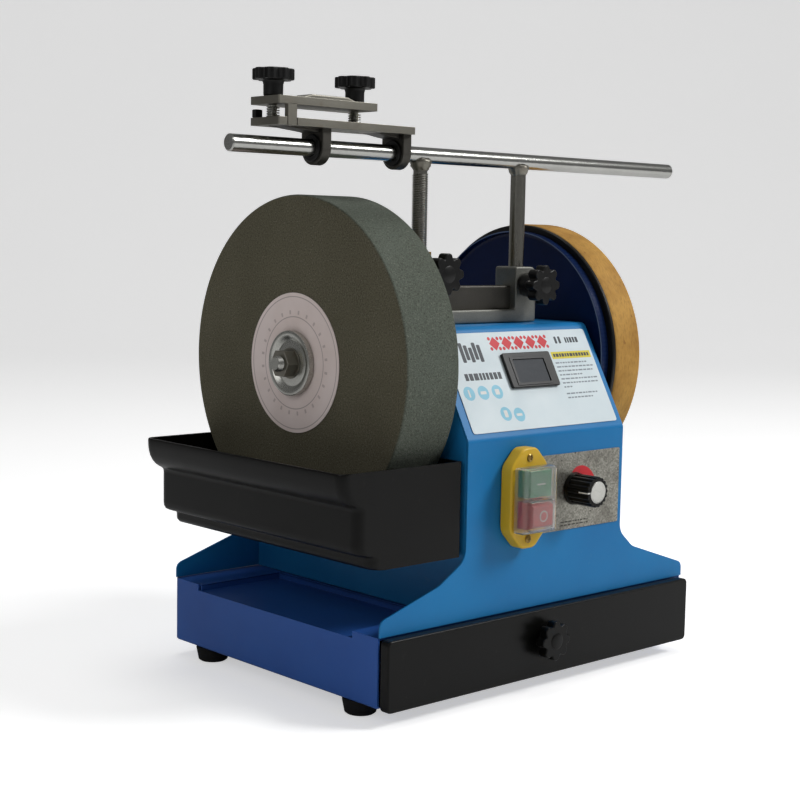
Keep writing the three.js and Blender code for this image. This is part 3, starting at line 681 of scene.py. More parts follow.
piece("drive_cup", turning([(231.8, 8.3), (231.8, 17), (232.8, 18), (236.6, 19), (237.6, 21),
    (237.6, 97), (236.6, 99.9),
                            (232.4, 100.5), (231.8, 101), (232.2, 102), (239.6, 102), (239.6, 8.3)],
                                steps=180),
      disc_paint, "spindle", "drive_disc", 30)
core = [(240.2, 6.2), (240.2, 106.4), (240.9, 107.1), (243.2, 107.1), (243.2, 104.3), (272.4, 104.3),
    (273, 103.7),
        (273, 96), (271.5, 94.5), (256, 92.5), (254, 90.5), (254, 24), (256, 22), (272, 20.6),
            (273, 19.6), (273, 6.2)]
piece("wheel_core", turning(core, steps=160), black_moulded, "spindle", "honing_core",
    30)
tyre = [(243.5, 104.6), (243.5, 106.8), (244.6, 107.7), (247, 107.8), (269.5, 107.8), (272, 107.6),
    (273, 106.8), (273, 104.6)]
piece("leather_tyre", turning(tyre, steps=200), honing_leather, "spindle", "leather_band",
    50)
grip = slab(star(0, 0, 18.8, 7, 4.2), "x", 277.2, 290.8, 1.8, 3)
piece("wheel_nut", joined(grip, rod("x", 273.4, 278, 12.8), rod("x", 290, 291, 6)), black_moulded,
    "spindle", "honing_nut")
print("honing side ready")

# %% [markdown]
# ## The folded housing
# Front and rear are each one sheet: a flared plate, a bend, a slope, a second bend and half the
# top. So each is made as it is in the shop: cut the plate, then fold it. A spin of the plate's top
# edge makes a bend, an extrude makes the next flat, and solidify gives the sheet its thickness.


# %% Cut and fold one sheet
def flare_outline(top):
    """The plate's cut shape: wide at the foot, with shoulders that sweep into upright sides."""
    left = [(-24, -180.7), (-24, -169.5), (32, -152), (58, -136), (58, top)]
    right = [(230, top), (230, -134), (246, -148), (311, -169.5), (311, -180.7)]
    radii = [0.4, 7, 20, 16, 0, 0, 14, 18, 7, 0.4]
    return soft_corners(left + right, radii, 8)


def last_edge(bm, result):
    return [g for g in result if isinstance(g, bmesh.types.BMEdge) and
            abs(g.verts[0].co.x - g.verts[1].co.x) > 100]


def folded_sheet(plate_y, way, run, seam, bend=7.0, sheet=1.5):
    """Way is 1 to fold towards the back, -1 towards the front; run is how far the slope leans."""
    lean = math.atan2(run, 79.5)
    slope_length = math.hypot(run, 79.5)
    first, second = bend * math.tan(lean / 2), bend * math.tan((math.pi / 2 - lean) / 2)
    bm = bmesh.new()
    plate = bm.faces.new([bm.verts.new((x, plate_y, z)) for x, z in flare_outline(-50 - first)])
    bm.verts.ensure_lookup_table()
    edge = [e for e in bm.edges if all(abs(v.co.z + 50 + first) < 0.01 for v in e.verts)]
    geom = edge + [v for e in edge for v in e.verts]
    centre = Vector((0, plate_y + way * bend, -50 - first))
    turned = bmesh.ops.spin(bm, geom=geom, cent=centre, axis=(1, 0, 0), angle=-way * lean, steps=6)
    edge = last_edge(bm, turned["geom_last"])
    up = Vector((0, way * math.sin(lean), math.cos(lean)))
    pushed = bmesh.ops.extrude_edge_only(bm, edges=edge)["geom"]
    bmesh.ops.translate(bm, vec=up * (slope_length - first - second),
        verts=[g for g in pushed if isinstance(g, bmesh.types.BMVert)])
    edge = last_edge(bm, pushed)
    inward = Vector((0, way * math.cos(lean), -math.sin(lean)))
    centre = edge[0].verts[0].co + inward * bend
    geom = edge + [v for e in edge for v in e.verts]
    turned = bmesh.ops.spin(bm, geom=geom, cent=centre, axis=(1, 0, 0),
        angle=-way * (math.pi / 2 - lean), steps=10)
    edge = last_edge(bm, turned["geom_last"])
    pushed = bmesh.ops.extrude_edge_only(bm, edges=edge)["geom"]
    far = [g for g in pushed if isinstance(g, bmesh.types.BMVert)]
    bmesh.ops.translate(bm, vec=(0, seam - far[0].co.y, 0), verts=far)
    bmesh.ops.remove_doubles(bm, verts=bm.verts, dist=0.001)
    bmesh.ops.recalc_face_normals(bm, faces=bm.faces)
    biggest = max(bm.faces, key=lambda f: f.calc_area())
    if biggest.normal.y * way > 0:
        bmesh.ops.reverse_faces(bm, faces=bm.faces)
    body = temporary(bm)
    wall = body.modifiers.new("sheet", "SOLIDIFY")
    wall.thickness, wall.offset, wall.use_even_offset = sheet, -1.0, True
    bm = settle(body)
    round_edges(bm, 0.35, 2, 60)
    return bm


SLOPE_LEAN = math.atan2(43.8, 79.5)
front = folded_sheet(-127.8, 1, 43.8, 40.0)
leg_holes = [rod("z", 20, 40, 7.5, (x, -52, 0), 0.1) for x in (76.3, 182.4)]
piece("front_sheet", cut(front, *leg_holes), blue_paint, "machine", "front_panel", 25)
piece("rear_sheet", folded_sheet(120.0, -1, 44.0, 40.3), blue_paint, "machine", "rear_panel",
    25)
print("housing folded")

# %% [markdown]
# ## Base, tray and drawer
# The base is a folded pan, open at the front for the drawer. Its top is a tray that catches drips,
# with a sunken area under the trough that drains over the left wall.

# %% Pan
pan = block(-24, 311, -126, 120, -231.7, -181, 0)
round_edges(pan, 2.5, 4, only=lambda e: all(v.co.z < -231 for v in e.verts) or
            (abs(e.verts[0].co.z - e.verts[1].co.z) > 30 and all(v.co.y > 100 for v in e.verts)))
pan = cut(pan, block(-22.5, 309.5, -140, 118.5, -230.2, -170, 0),
    block(-30, -20, -98.7, 88.6, -186, -170, 0))
round_edges(pan, 0.3, 2, 60)
piece("pan", pan, navy_paint, "machine", "base_pan", 30)

# %% Tray floor
tray = block(-22.2, 309.2, -125.7, 118.2, -182.8, -181.3, 0)
dish = cut(block(-22.2, 57, -98, 88, -187.8, -181.5, 0), block(-40, 55.5, -96.5, 86.5, -186.3, -170, 0))
tray = cut(tray, block(-40, 55.5, -96.5, 86.5, -190, -170, 0))
round_edges(tray, 0.4, 2, 60)
round_edges(dish, 0.4, 2, 60)
piece("tray", joined(tray, dish), navy_paint, "machine", "tray_floor", 30)

# %% Drawer front, box and knob
face_outline = soft_corners([(-24, -232.7), (308, -232.7), (308, -181.3), (-24, -181.3)], 4.5, 6)
piece("drawer_face", slab(face_outline, "y", -137, -128.3, 1.4, 3), black_gloss, "drawer",
    "drawer_front")
drawer_box = cut(block(-20, 304, -128, 100, -229.9, -194, 0.6),
    block(-18.8, 302.8, -126.8, 98.8, -228.7, -180, 0))
piece("drawer_tray", drawer_box, turned_steel, "drawer", "drawer_box")
knob = slab(star(135, -204, 15, 8, 3.4), "y", -149.2, -141.4, 2.0, 4)
dome = turning([(-142, 0), (-142, 6), (-149.4, 6.2), (-150, 5), (-150, 0)], "y", (135, 0, -204), 48)
neck = turning([(-142.5, 0), (-142.5, 9), (-137.3, 7.6), (-137.3, 0)], "y", (135, 0, -204), 48)
piece("drawer_grip", joined(knob, dome, neck), black_gloss, "drawer", "drawer_knob",
    40)

# %% Rubber feet
for end, y in (("front", -93), ("rear", 87)):
    for side, x in (("left", -10.4), ("right", 297.4)):
        foot = [(-243.5, 0), (-243.5, 4), (-242.5, 5), (-243.5, 6), (-243.5, 10), (-242.4, 11.5),
            (-233.2, 13.4), (-232, 13), (-232, 0)]
        piece(f"foot_{end[0]}_{side[0]}", turning(foot, "z", (x, y, 0), 48), rubber_black, "machine",
            f"foot_{end}_{side}")
print("base ready")

# %% [markdown]
# ## The water trough
# A moulded box with a wide mouth that steps in twice on its outer side, so that it clears the
# tray. It is built up from level rings, bottom to rim and down inside again, and bridged. Where a
# tier meets the front, the corner is well rounded, so every ring has the same soft corners.


# %% Rings and bridges
def trough_ring(bm, left, z, inset=0.0, corner=8.0):
    x0, x1, y0, y1 = left + inset, 54.5 - inset, -126 + inset, 112 - inset
    points = soft_corners([(x0, y0), (x1, y0), (x1, y1), (x0, y1)], [corner, 3, 3, corner], 8)
    verts = [bm.verts.new((x, y, z)) for x, y in points]
    return [bm.edges.new((a, b)) for a, b in zip(verts, verts[1:] + verts[:1])]


outside = [(-25, -133.5), (-29.5, -132.7), (-31.6, -130.4), (-32, -128), (-32, -125.6), (-33, -123.6),
    (-36, -122.7), (-39.6, -122.2),
           (-42.6, -120.8), (-44.1, -118.2), (-44.5, -115), (-44.5, -92), (-44.8, -89.6), (-46.4, -88),
               (-48.4, -86.9),
           (-52, -84.6), (-55, -81.4), (-57.2, -77.4), (-58.4, -73), (-58.9, -69), (-59, -65.2),
               (-58.6, -64.2), (-58, -64)]
WALL = 2.3
bm = bmesh.new()
rings = [trough_ring(bm, left, z) for left, z in outside]
inside = [(left, max(z, -131.2)) for left, z in outside[4:-3]]
rings += [trough_ring(bm, -59, -64.05, WALL)] + [trough_ring(bm, left, z + (0.0 if z > -80 else 0.9),
    WALL) for left, z in reversed(inside)]
rings.append(trough_ring(bm, -31.5, -130.6, WALL, 7))
rings.append(trough_ring(bm, -29.0, -131.2, WALL, 6))
for lower, upper in zip(rings, rings[1:]):
    bmesh.ops.bridge_loops(bm, edges=lower + upper)
bmesh.ops.holes_fill(bm, edges=rings[0] + rings[-1], sides=0)
bmesh.ops.recalc_face_normals(bm, faces=bm.faces)
piece("trough", bm, black_gloss, "trough", "water_trough", 50)
print("trough rings:", len(rings))

# %% [markdown]
# ## Control panel
# The white film lies on the slope, so its parts are drawn flat, then laid on the slope with one
# matrix. Print is thin raised ink: a red band, a yellow one, lines where text would be, and round
# blue signs with plain shapes. There is no lettering.

# %% Laying things on the slope
up_slope = Vector((0, math.sin(SLOPE_LEAN), math.cos(SLOPE_LEAN)))
off_slope = Vector((0, -math.cos(SLOPE_LEAN), math.sin(SLOPE_LEAN)))
SLOPE = Matrix(((1, up_slope.x, off_slope.x, 0), (0, up_slope.y, off_slope.y, -127.8),
                (0, up_slope.z, off_slope.z, -50), (0, 0, 0, 1)))


def on_slope(bm):
    bm.transform(SLOPE)
    return bm


def printed(name, shapes, finish, body="machine", thick=0.05, base=0.7):
    """Shapes are outlines in (across, up the slope)."""
    parts = [slab(outline, "z", base, base + thick, 0) for outline in shapes]
    piece(name, on_slope(joined(*parts)), finish, body, smooth=60)


def bar(x0, x1, s0, s1, r=0.6):
    return soft_corners([(x0, s0), (x1, s0), (x1, s1), (x0, s1)], r, 4)


film = slab(bar(65, 224.5, 5, 84.9, 2.5), "z", 0.3, 0.7, 0.12, 1)
film = cut(film, slab(bar(124, 168, 40.5, 63, 0.5), "z", -2, 3, 0))
piece("panel_film", on_slope(film), film_white, "machine", "label_plate", 60)
rng = random.Random(8)


def dashes(x0, x1, s0, high, shortest=1.6, longest=5.0, gap=0.9):
    """A row of short plain bars, which reads as fine print from a distance."""
    row = []
    while x0 < x1 - shortest:
        step = min(rng.uniform(shortest, longest), x1 - x0)
        row.append(bar(x0, x0 + step, s0, s0 + high, min(0.3, high / 3)))
        x0 += step + gap
    return row


red_blocks = []
for x in (113, 126.2, 139.4, 152.6, 165.8):
    middle_x, middle_s = x + 5.7, 75.3
    red_blocks.append([(middle_x - 5.7, middle_s), (middle_x, middle_s - 5.7),
        (middle_x + 5.7, middle_s), (middle_x, middle_s + 5.7)])
    red_blocks += [circle(middle_x + dx, middle_s + ds, 1.5, 16) for dx in (-4.6, 4.6) for ds in (-4.2,
        4.2)]
printed("print_red", red_blocks, ink_red)
printed("print_yellow", [bar(176.5, 222, 60, 66, 0.5)], ink_yellow)
printed("print_on_yellow", dashes(178.5, 220, 61.6, 2.8, 1.8, 3.2, 0.8), ink_dark, base=0.76)
fine = []
for wide, s0 in ((38, 56), (42, 52.6), (40, 49.2), (26, 45.8), (42, 42.4), (41, 39), (10, 35.6),
    (38, 30), (30, 26.6)):
    fine += dashes(178, 178 + wide, s0, 1.1)
printed("print_lines", fine, ink_grey)
emblem = [bar(80 + k * 4.6, 83.6 + k * 4.6, 61 + (k % 2) * 2, 77 - (k % 3) * 2, 1.0) for k in range(5)]
printed("print_black", [bar(186, 188.6, 73, 79, 0.8), bar(190.4, 193, 73, 79, 0.8)] + dashes(198, 213,
    73.4, 4.6, 1.6, 3.6, 0.9) +
        emblem + dashes(76, 114, 46.5, 5.6, 2.4, 4.6, 1.0), ink_black)
signs = ((74.6, 36.5), (89.2, 36.4), (103.8, 36.4), (104.8, 18.5), (118.4, 17))
printed("print_signs", [circle(x, s, 5.6, 32) for x, s in signs], ink_blue)
printed("print_sign_marks", [bar(x - w, x + w, s - h, s + h, 0.6) for (x, s), (w, h) in
                             zip(signs, ((0.8, 3), (3, 1.2), (2.2, 2.2), (1.8, 2.8), (3, 1)))],
                                 ink_white, base=0.75)

# %% Display
bezel = slab(bar(119.5, 172, 37.3, 66.1, 2), "z", 0.8, 3.6, 0.9, 3)
bezel = cut(bezel, slab(bar(127.8, 162.6, 40.9, 60.3, 0.8), "z", 2.2, 6, 0))
step = cut(slab(bar(125.4, 165, 38.9, 62.3, 1), "z", 3.4, 4.1, 0.25),
    slab(bar(127.8, 162.6, 40.9, 60.3, 0.8), "z", 0, 6, 0))
back_box = block(124.5, 167.5, 40.8, 62.6, -14, 1, 0.6)
piece("display_frame", on_slope(joined(bezel, step, back_box)), black_moulded, "machine",
    "display_bezel")
piece("display_lens", on_slope(slab(bar(128.1, 162.3, 41.1, 60, 0.6), "z", 2.3, 3.3, 0.2)),
    display_lens, "machine",
      "display_window")
print("control panel ready")

# %% [markdown]
# ## Switch
# A magnetic switch in a yellow housing: green to start, red to stop, under a soft clear cover that
# keeps water out. Two small cross-head screws hold it.

# %% Yellow housing
SX, SZ, SW, SH = 111.2, -94.5, 19.75, 37.5
shape = [(SX - 7, SZ - SH), (SX + 7, SZ - SH), (SX + SW, SZ - 24), (SX + SW, SZ + 24),
    (SX + 7, SZ + SH), (SX - 7, SZ + SH),
         (SX - SW, SZ + 24), (SX - SW, SZ - 24)]
housing = slab(soft_corners(shape, [9, 9, 12, 12, 9, 9, 12, 12], 6), "y", -139.5, -128.1, 1.8, 4)
KEY_HALF, KEY_RISE = 11.8, 10.1
START_Z, STOP_Z = SZ + 12, SZ - 11.3
pockets = [block(SX - 12.2, SX + 12.2, -150, -130.7, z - 10.5, z + 10.5, 0) for z in (START_Z, STOP_Z)]
housing = cut(housing, *pockets)
back = block(SX - 14, SX + 14, -129, -102, SZ - 22, SZ + 22, 1)
piece("switch_housing", joined(housing, back), yellow_plastic, "machine", "switch_body",
    30)


# %% Buttons and their marks
def key(z, face, narrow, low, shoulder):
    """A key that may taper to a smaller face: the front corners are drawn in."""
    bm = block(SX - KEY_HALF, SX + KEY_HALF, shoulder, -134, z - KEY_RISE, z + KEY_RISE, 0)
    front = min(bm.faces, key=lambda f: f.calc_center_median().y)
    grown = bmesh.ops.extrude_face_region(bm, geom=[front])["geom"]
    ends = [g for g in grown if isinstance(g, bmesh.types.BMVert)]
    bmesh.ops.delete(bm, geom=[front], context="FACES_ONLY")
    for v in ends:
        v.co = Vector((SX + math.copysign(narrow, v.co.x - SX), face,
            z + math.copysign(low, v.co.z - z)))
    round_edges(bm, 1.0, 3, 12)
    return bm


piece("start_key", key(START_Z, -150.2, 11.2, 9.5, -147.4), green_plastic, "start", "start_button")
piece("stop_key", key(STOP_Z, -153.3, 10.2, 7.3, -147), red_plastic, "stop", "stop_button")
stroke = slab(bar(SX - 4.4, SX + 4.4, START_Z - 0.5, START_Z + 0.5, 0.4), "y", -150.35, -150.1, 0)
piece("start_mark", stroke, ink_white, "start")
loop = turning([(-153.45, 3.3), (-153.45, 4.2), (-153.1, 4.2), (-153.1, 3.3)], "y", (SX, 0, STOP_Z), 48)
piece("stop_mark", loop, ink_white, "stop")


# %% Clear cover and screws
def cover_skin(shrink, base):
    """The cover's outline, with a bulge over each key; shrink takes the wall off all round."""
    def part(z, w, h, front):
        return block(SX - w + shrink, SX + w - shrink, front + shrink, base, z - h + shrink,
            z + h - shrink, 2.4 - shrink, 3)
    body = part(SZ, 18.2, 24.5, -150.6)
    bodies = [temporary(b) for b in (part(START_Z, 13.2, 11.5, -151.7),
        part(STOP_Z, 13.2, 11.5, -154.8))]
    owner = temporary(body)
    for other in bodies:
        union = owner.modifiers.new("join", "BOOLEAN")
        union.operation, union.solver, union.object = "UNION", "EXACT", other
    done = settle(owner)
    for other in bodies:
        bpy.data.objects.remove(other)
    return done


cover = cut(cover_skin(0.0, -139.8), cover_skin(1.0, -134))
piece("splash_cover", cover, clear_cover, "machine", "switch_cover", 40)


def cross_screw(name, x, y, z, r, finish, body, axis="y", proud=1.6):
    """A pan-head screw facing the user, with a cross recess."""
    head = turning([(y + 0.5, 0), (y + 0.5, r), (y - proud * 0.4, r), (y - proud * 0.8, r * 0.8),
        (y - proud, r * 0.45), (y - proud, 0)],
                   "y", (x, 0, z), 32)
    a = block(x - r * 0.62, x + r * 0.62, y - proud - 1, y - proud * 0.3, z - r * 0.13, z + r * 0.13, 0)
    b = block(x - r * 0.13, x + r * 0.13, y - proud - 1, y - proud * 0.3, z - r * 0.62, z + r * 0.62, 0)
    piece(name, cut(head, a, b), finish, body)


cross_screw("switch_screw_top", SX - 1, -139.5, SZ + 30.2, 3.0, brass_metal, "machine", proud=1.3)
cross_screw("switch_screw_low", SX - 1, -139.5, SZ - 30.2, 3.0, brass_metal, "machine", proud=1.3)
print("switch ready")

# %% [markdown]
# ## Speed dial
# A fluted knob with a spun metal cap turns over a sparkling plate, printed with a red quarter and
# plain ticks. A white line on the knob shows its setting.

# %% Plate, print, knob
DX, DZ = 172.8, -94.4
plate = slab(bar(133, 225.5, -125.5, -66.5, 1.5), "y", -128.6, -128.1, 0.12, 1)
piece("dial_face", plate, dial_metal, "machine", "dial_plate")
wedge = []
for k in range(25):
    turn = math.radians(102 - k * 4.1)
    reach = 13 + 12.5 * (k / 24) ** 0.75
    wedge.append((DX + reach * math.cos(turn), DZ + reach * math.sin(turn)))
wedge += [(DX + 12.8 * math.cos(math.radians(a)),
    DZ + 12.8 * math.sin(math.radians(a))) for a in range(4, 103, 7)]
piece("dial_red", slab(wedge, "y", -128.66, -128.6, 0), ink_red, "machine")
ticks = []
for k in range(9):
    turn = math.radians(225 - k * 33.75)
    cx, cz, wide = DX + 27.5 * math.cos(turn), DZ + 27.5 * math.sin(turn), (1.0 if k % 4 else 1.6)
    tick = slab(bar(cx - wide / 2, cx + wide / 2, cz - 0.5, cz + 0.5, 0.2), "y", -128.66, -128.6, 0)
    ticks.append(tick)
rng = random.Random(5)
for s0 in (-122.5, -120.0):
    at = 158.0
    while at < 190:
        step = rng.uniform(1.2, 4.2)
        ticks.append(slab(bar(at, at + step, s0, s0 + 1.0, 0.3), "y", -128.66, -128.6, 0))
        at += step + 0.9
piece("dial_ticks", joined(*ticks), ink_dark, "machine")
fluted = slab(star(DX, DZ, 11.8, 18, 1.1, 8), "y", -152.2, -131.6, 0.8, 2)
skirt = turning([(-132.2, 0), (-132.2, 12), (-129.6, 12.6), (-128.95, 12.6), (-128.95, 0)], "y",
    (DX, 0, DZ), 72)
piece("dial_knob", joined(fluted, skirt), black_gloss, "dial", "speed_knob")
spun = [(-151.7, 0), (-151.7, 8.3), (-152.6, 8.5), (-153, 8.1), (-152.8, 7.5), (-152.9, 0)]
piece("dial_cap", turning(spun, "y", (DX, 0, DZ), 72), cap_metal, "dial", "knob_cap")
pointer = joined(block(DX - 11.6, DX - 8.7, -152.35, -152.1, DZ - 0.5, DZ + 0.5, 0),
    block(DX - 12.0, DX - 11.4, -152, -143.5, DZ - 0.45, DZ + 0.45, 0))
piece("dial_pointer", pointer, ink_white, "dial")
print("dial ready")

# %% [markdown]
# ## The support and its bracket
# A chromed bar is welded across two legs. One leg is threaded and stands on a knurled nut that
# sets its height; both run down through a casting, where star knobs lock them. The casting is
# joined blocks melted together by a remesh, which gives the soft fillets of a sand mould.

# %% Casting
LEGS = (76.3, 182.4)
left_block = slab(soft_corners([(64.8, 29.8), (87.8, 29.8), (87.8, 79), (64.8, 79)], [1, 1, 4, 4]), "y",
    -63.5, -40.5, 0)
right_block = slab(soft_corners([(170.9, 29.8), (193.9, 29.8), (193.9, 73.5), (170.9, 73.5)],
    [1, 1, 7, 2]), "y", -63.5, -40.5, 0)
flange = block(76.3, 182.4, -63.5, -30, 29.8, 40, 0)
web = block(86, 172.5, -57.5, -46, 38.6, 58.5, 0)
casting = cast(joined(left_block, right_block, flange), 0.8, 3)
holes = [rod("z", 20, 100, 6.4, (x, -52, 0), 0.1) for x in LEGS]
piece("bracket", cut(casting, *holes), cast_metal, "machine", "support_bracket", 60)
piece("bracket_web", cast(web, 0.8, 3), dark_cast, "machine", smooth=60)
for i, (x, y) in enumerate(((124, -38), (100, -38), (158, -38))):
    head = turning([(39.6, 0), (39.6, 4.5), (42.4, 4.5), (43, 3.9), (43, 0)], "z", (x, y, 0), 32)
    socket = slab([(x + 2.4 * math.cos(math.radians(a)),
        y + 2.4 * math.sin(math.radians(a))) for a in range(0, 360, 60)], "z", 41, 45, 0)
    piece(f"bracket_screw_{i + 1}", cut(head, socket), turned_steel, "machine")

# %% Bar and legs
piece("cross_bar", rod("x", -100, 371, 6, (0, -52, 156), 0.9, 96), bar_chrome, "support", "support_bar",
    40)


def weld(x, seed):
    """A lumpy bead of weld where a leg meets the bar."""
    bead = turning([(144.6, 5.2), (145.4, 6.2), (146.6, 6.6), (147.8, 7.4), (149.2, 7.6), (150.6, 8.4),
        (152, 8.2), (153.4, 6.8)],
                   "z", (x, -52, 0), 40)
    for v in bead.verts:
        lump = noise.noise(Vector((v.co.x + seed, v.co.y, v.co.z)) * 0.45)
        outward = Vector((v.co.x - x, v.co.y + 52, 0)).normalized()
        v.co += outward * lump * 0.9
    return bead


smooth_leg = rod("z", -35, 153, 6, (LEGS[1], -52, 0), 0.8, 64)
piece("leg_plain", smooth_leg, leg_steel, "support", "plain_leg", 40)
threads = coil("z", -34, 143, 5.5, 0.62, 101, (LEGS[0], -52, 0), 5, 24)
cored = rod("z", -35, 153, 5.3, (LEGS[0], -52, 0), 0.8, 48)
piece("leg_threaded", joined(cored, threads), leg_steel, "support", "threaded_leg", 40)
piece("leg_welds", joined(weld(LEGS[0], 3.0), weld(LEGS[1], 11.0)), milled_steel, "support",
    smooth=60)

# %% Height nut and lock knobs
ring_nut = cut(slab(star(LEGS[0], -52, 9.4, 28, 0.7, 6), "z", 79.4, 84.4, 0.6, 2),
    rod("z", 70, 95, 6.4, (LEGS[0], -52, 0), 0.1))
piece("height_nut", ring_nut, brass_metal, "adjuster", "adjuster_nut", 30)
for side, x, z in (("left", LEGS[0], 68.2), ("right", LEGS[1], 59.6)):
    head = slab(star(x, z, 15.5, 8, 4.0), "y", -85.6, -76.4, 2.4, 4)
    dish = turning([(-86, 0), (-86, 5.6), (-85, 7.4), (-77, 8), (-77, 0)], "y", (x, 0, z), 48)
    hub = turning([(-77.4, 0), (-77.4, 11.9), (-74, 11), (-65.5, 10), (-64, 9.4), (-64, 0)], "y",
        (x, 0, z), 56)
    stud = rod("y", -65, -58.4, 3.9, (x, 0, z), 0.5, 32)
    piece(f"lock_grip_{side}", joined(head, dish, hub, stud), black_moulded, f"lock_{side}",
        f"lock_knob_{side}", 35)
print("support ready")

# %% [markdown]
# ## The straight-edge jig
# Two milled jaws hold a blade between them. The lower one hangs on the bar by two eyes with
# plastic bushes, so it slides and tilts; the upper one is pressed down by two star knobs against
# springs, and a square pin at the front keeps it in line.

# %% Lower jaw
BY, BZ = -52, 156            # the bar's middle
LOWER_JAW = (169.3, 174.7)   # underside and top
UPPER_JAW = (183.5, 189)
CLAMP_Y = -50
notch_plate = [(-70, -68), (-62.4, -68), (-62.4, -63.6), (-53.6, -63.6), (-53.6, -68), (56, -68),
    (56, -36), (-70, -36)]
CLAMPS = (("left", -61), ("right", 12.5))


def screw_hole(x):
    """A hole for a clamp screw to pass down through."""
    return rod("z", 155, 195, 3.4, (x, CLAMP_Y, 0), 0.1, 32)


jaw_plate = slab(soft_corners(notch_plate, [1, 0, 0, 0, 0, 1, 1, 1], 3), "z", *LOWER_JAW, 0.3, 2)
jaw_plate = cut(jaw_plate, *[screw_hole(x) for _, x in CLAMPS])
jaw_parts = []
eye_arc = [(BY + 12 * math.cos(math.pi + math.pi * k / 24),
    BZ + 12 * math.sin(math.pi + math.pi * k / 24)) for k in range(25)]
eye = [(BY - 12, 170)] + eye_arc + [(BY + 12, 170)]
for x0, reach in ((-28, 38), (48, 26)):
    lug = cut(slab(eye, "x", x0, x0 + 8, 0.7, 3), rod("x", x0 - 1, x0 + 9, 8.2, (0, BY, BZ), 0.1))
    web = slab([(x0 - reach, 169.8), (x0 + 1, 169.8), (x0 + 1, 166.4), (x0 - 2.2, 166.3),
        (x0 - 9, 167.1)], "y", BY - 8, BY + 8, 0.4, 2)
    if x0 < 0:  # only the left web lies under a clamp screw
        web = cut(web, screw_hole(CLAMPS[0][1]))
    jaw_parts += [lug, web]
piece("jaw_lower", jaw_plate, milled_steel, "jaw", "lower_jaw", 32)
piece("jaw_eyes", joined(*jaw_parts), dark_cast, "jaw", smooth=32)
for side, x0, x1 in (("left", -28, -20), ("right", 48, 56)):
    bush = turning([(x0 - 1.6, 6.3), (x0 - 1.6, 9.2), (x0 - 1.2, 9.6), (x0 - 0.3, 9.6), (x0 - 0.3, 8),
        (x1, 8), (x1, 6.3)], "x", (0, BY, BZ), 56)
    piece(f"eye_bush_{side}", bush, black_moulded, "carriage", f"jig_bush_{side}")

# %% Upper jaw with its pin
top_plate = slab(soft_corners([(-70, -68), (19, -68), (19, -36), (-70, -36)], 1, 3), "z", *UPPER_JAW,
    0.3, 2)
top_plate = cut(top_plate, *[screw_hole(x) for _, x in CLAMPS])
ridge = slab([(-47, 188.4), (-35, 192.2), (-2, 192.2), (9, 188.4)], "y", BY - 8.5, BY + 8.5, 0.8, 3)
pin = block(-62, -54, -68, -64, LOWER_JAW[0], UPPER_JAW[0] + 1, 0.5, 2)
piece("jaw_upper", joined(top_plate, ridge, pin), milled_steel, "top_jaw", "upper_jaw", 32)
# The stop is taken to be soft. It and the springs get meshes of their own.
stop = piece("jaw_stop", block(-69, -63, -41, -36.5, 174.9, 180.5, 0.6, 2), black_moulded, "jaw")
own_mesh(stop)

# %% Clamp knobs, screws and springs
for side, x in CLAMPS:
    at = (x, CLAMP_Y, 0)
    head = slab(star(x, CLAMP_Y, 14.5, 8, 2.6), "z", 200.2, 208, 1.8, 4)
    crown = turning([(207, 0), (207, 9.4), (208.2, 8.8), (208.6, 7.6), (208.6, 0)], "z", at, 56)
    hub = turning([(189.4, 0), (189.4, 6.2), (190.2, 6.8), (197.4, 6.9), (199.6, 7.6), (201, 9.6),
        (201, 0)], "z", at, 56)
    piece(f"clamp_grip_{side}", joined(head, crown, hub), black_moulded, f"clamp_{side}",
        f"clamp_knob_{side}", 35)
    screw = joined(rod("z", 169.6, 190, 2.6, at, 0.4, 32),
        coil("z", 169.8, 189, 2.65, 0.34, 15, at, 4, 20))
    piece(f"clamp_screw_{side}", screw, turned_steel, f"clamp_{side}")
    spring = coil("z", 174.9, 183.3, 4.2, 0.45, 4.5, at, 8, 24)
    spring = piece(f"jaw_spring_{side}", spring, turned_steel, "jaw", f"clamp_spring_{side}")
    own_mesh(spring)
print("jig ready, pieces so far:", len(made))

# %% [markdown]
# ## Back, and what is inside
# A gland at the back is where a mains lead would come in; no lead is made. The motor, its roller, the bearings and the
# speed board sit inside the housing; their CAD shapes are right, so they only get finishes.

# %% Gland
gland = [(112, 3.6), (112, 6.0), (120.3, 6.0), (120.3, 9), (124, 9), (124.6, 8.6), (131, 6.2),
    (132, 5.4), (132, 3.6)]
piece("lead_gland", turning(gland, "y", (144.5, 0, -160), 56), black_moulded, "machine", "cable_gland")


# %% Finishes for the shapes that stay
def dress(finish, *nodes):
    for node in nodes:
        mesh = frame["nodes"][node].data
        mesh.materials.clear()
        mesh.materials.append(finish)


dress(blue_paint, "side_plate_left", "side_plate_right")
dress(turned_steel, "bearing_left", "bearing_right", "motor_shaft", "trough_magnet")
dress(cast_metal, "motor_body")
dress(rubber_black, "drive_roller")
dress(black_moulded, "potentiometer")
dress(board_green, "speed_controller")
left_over = [n for n, o in frame["nodes"].items() if not o.hide_render]
print("CAD shapes still showing:", left_over)

# %% [markdown]
# ## Floor, light and camera
# A pale floor that curves up into a backdrop, a big soft light from the right front and above, a
# weaker one from the left, and a bright surrounding. The camera stands low at the front left.

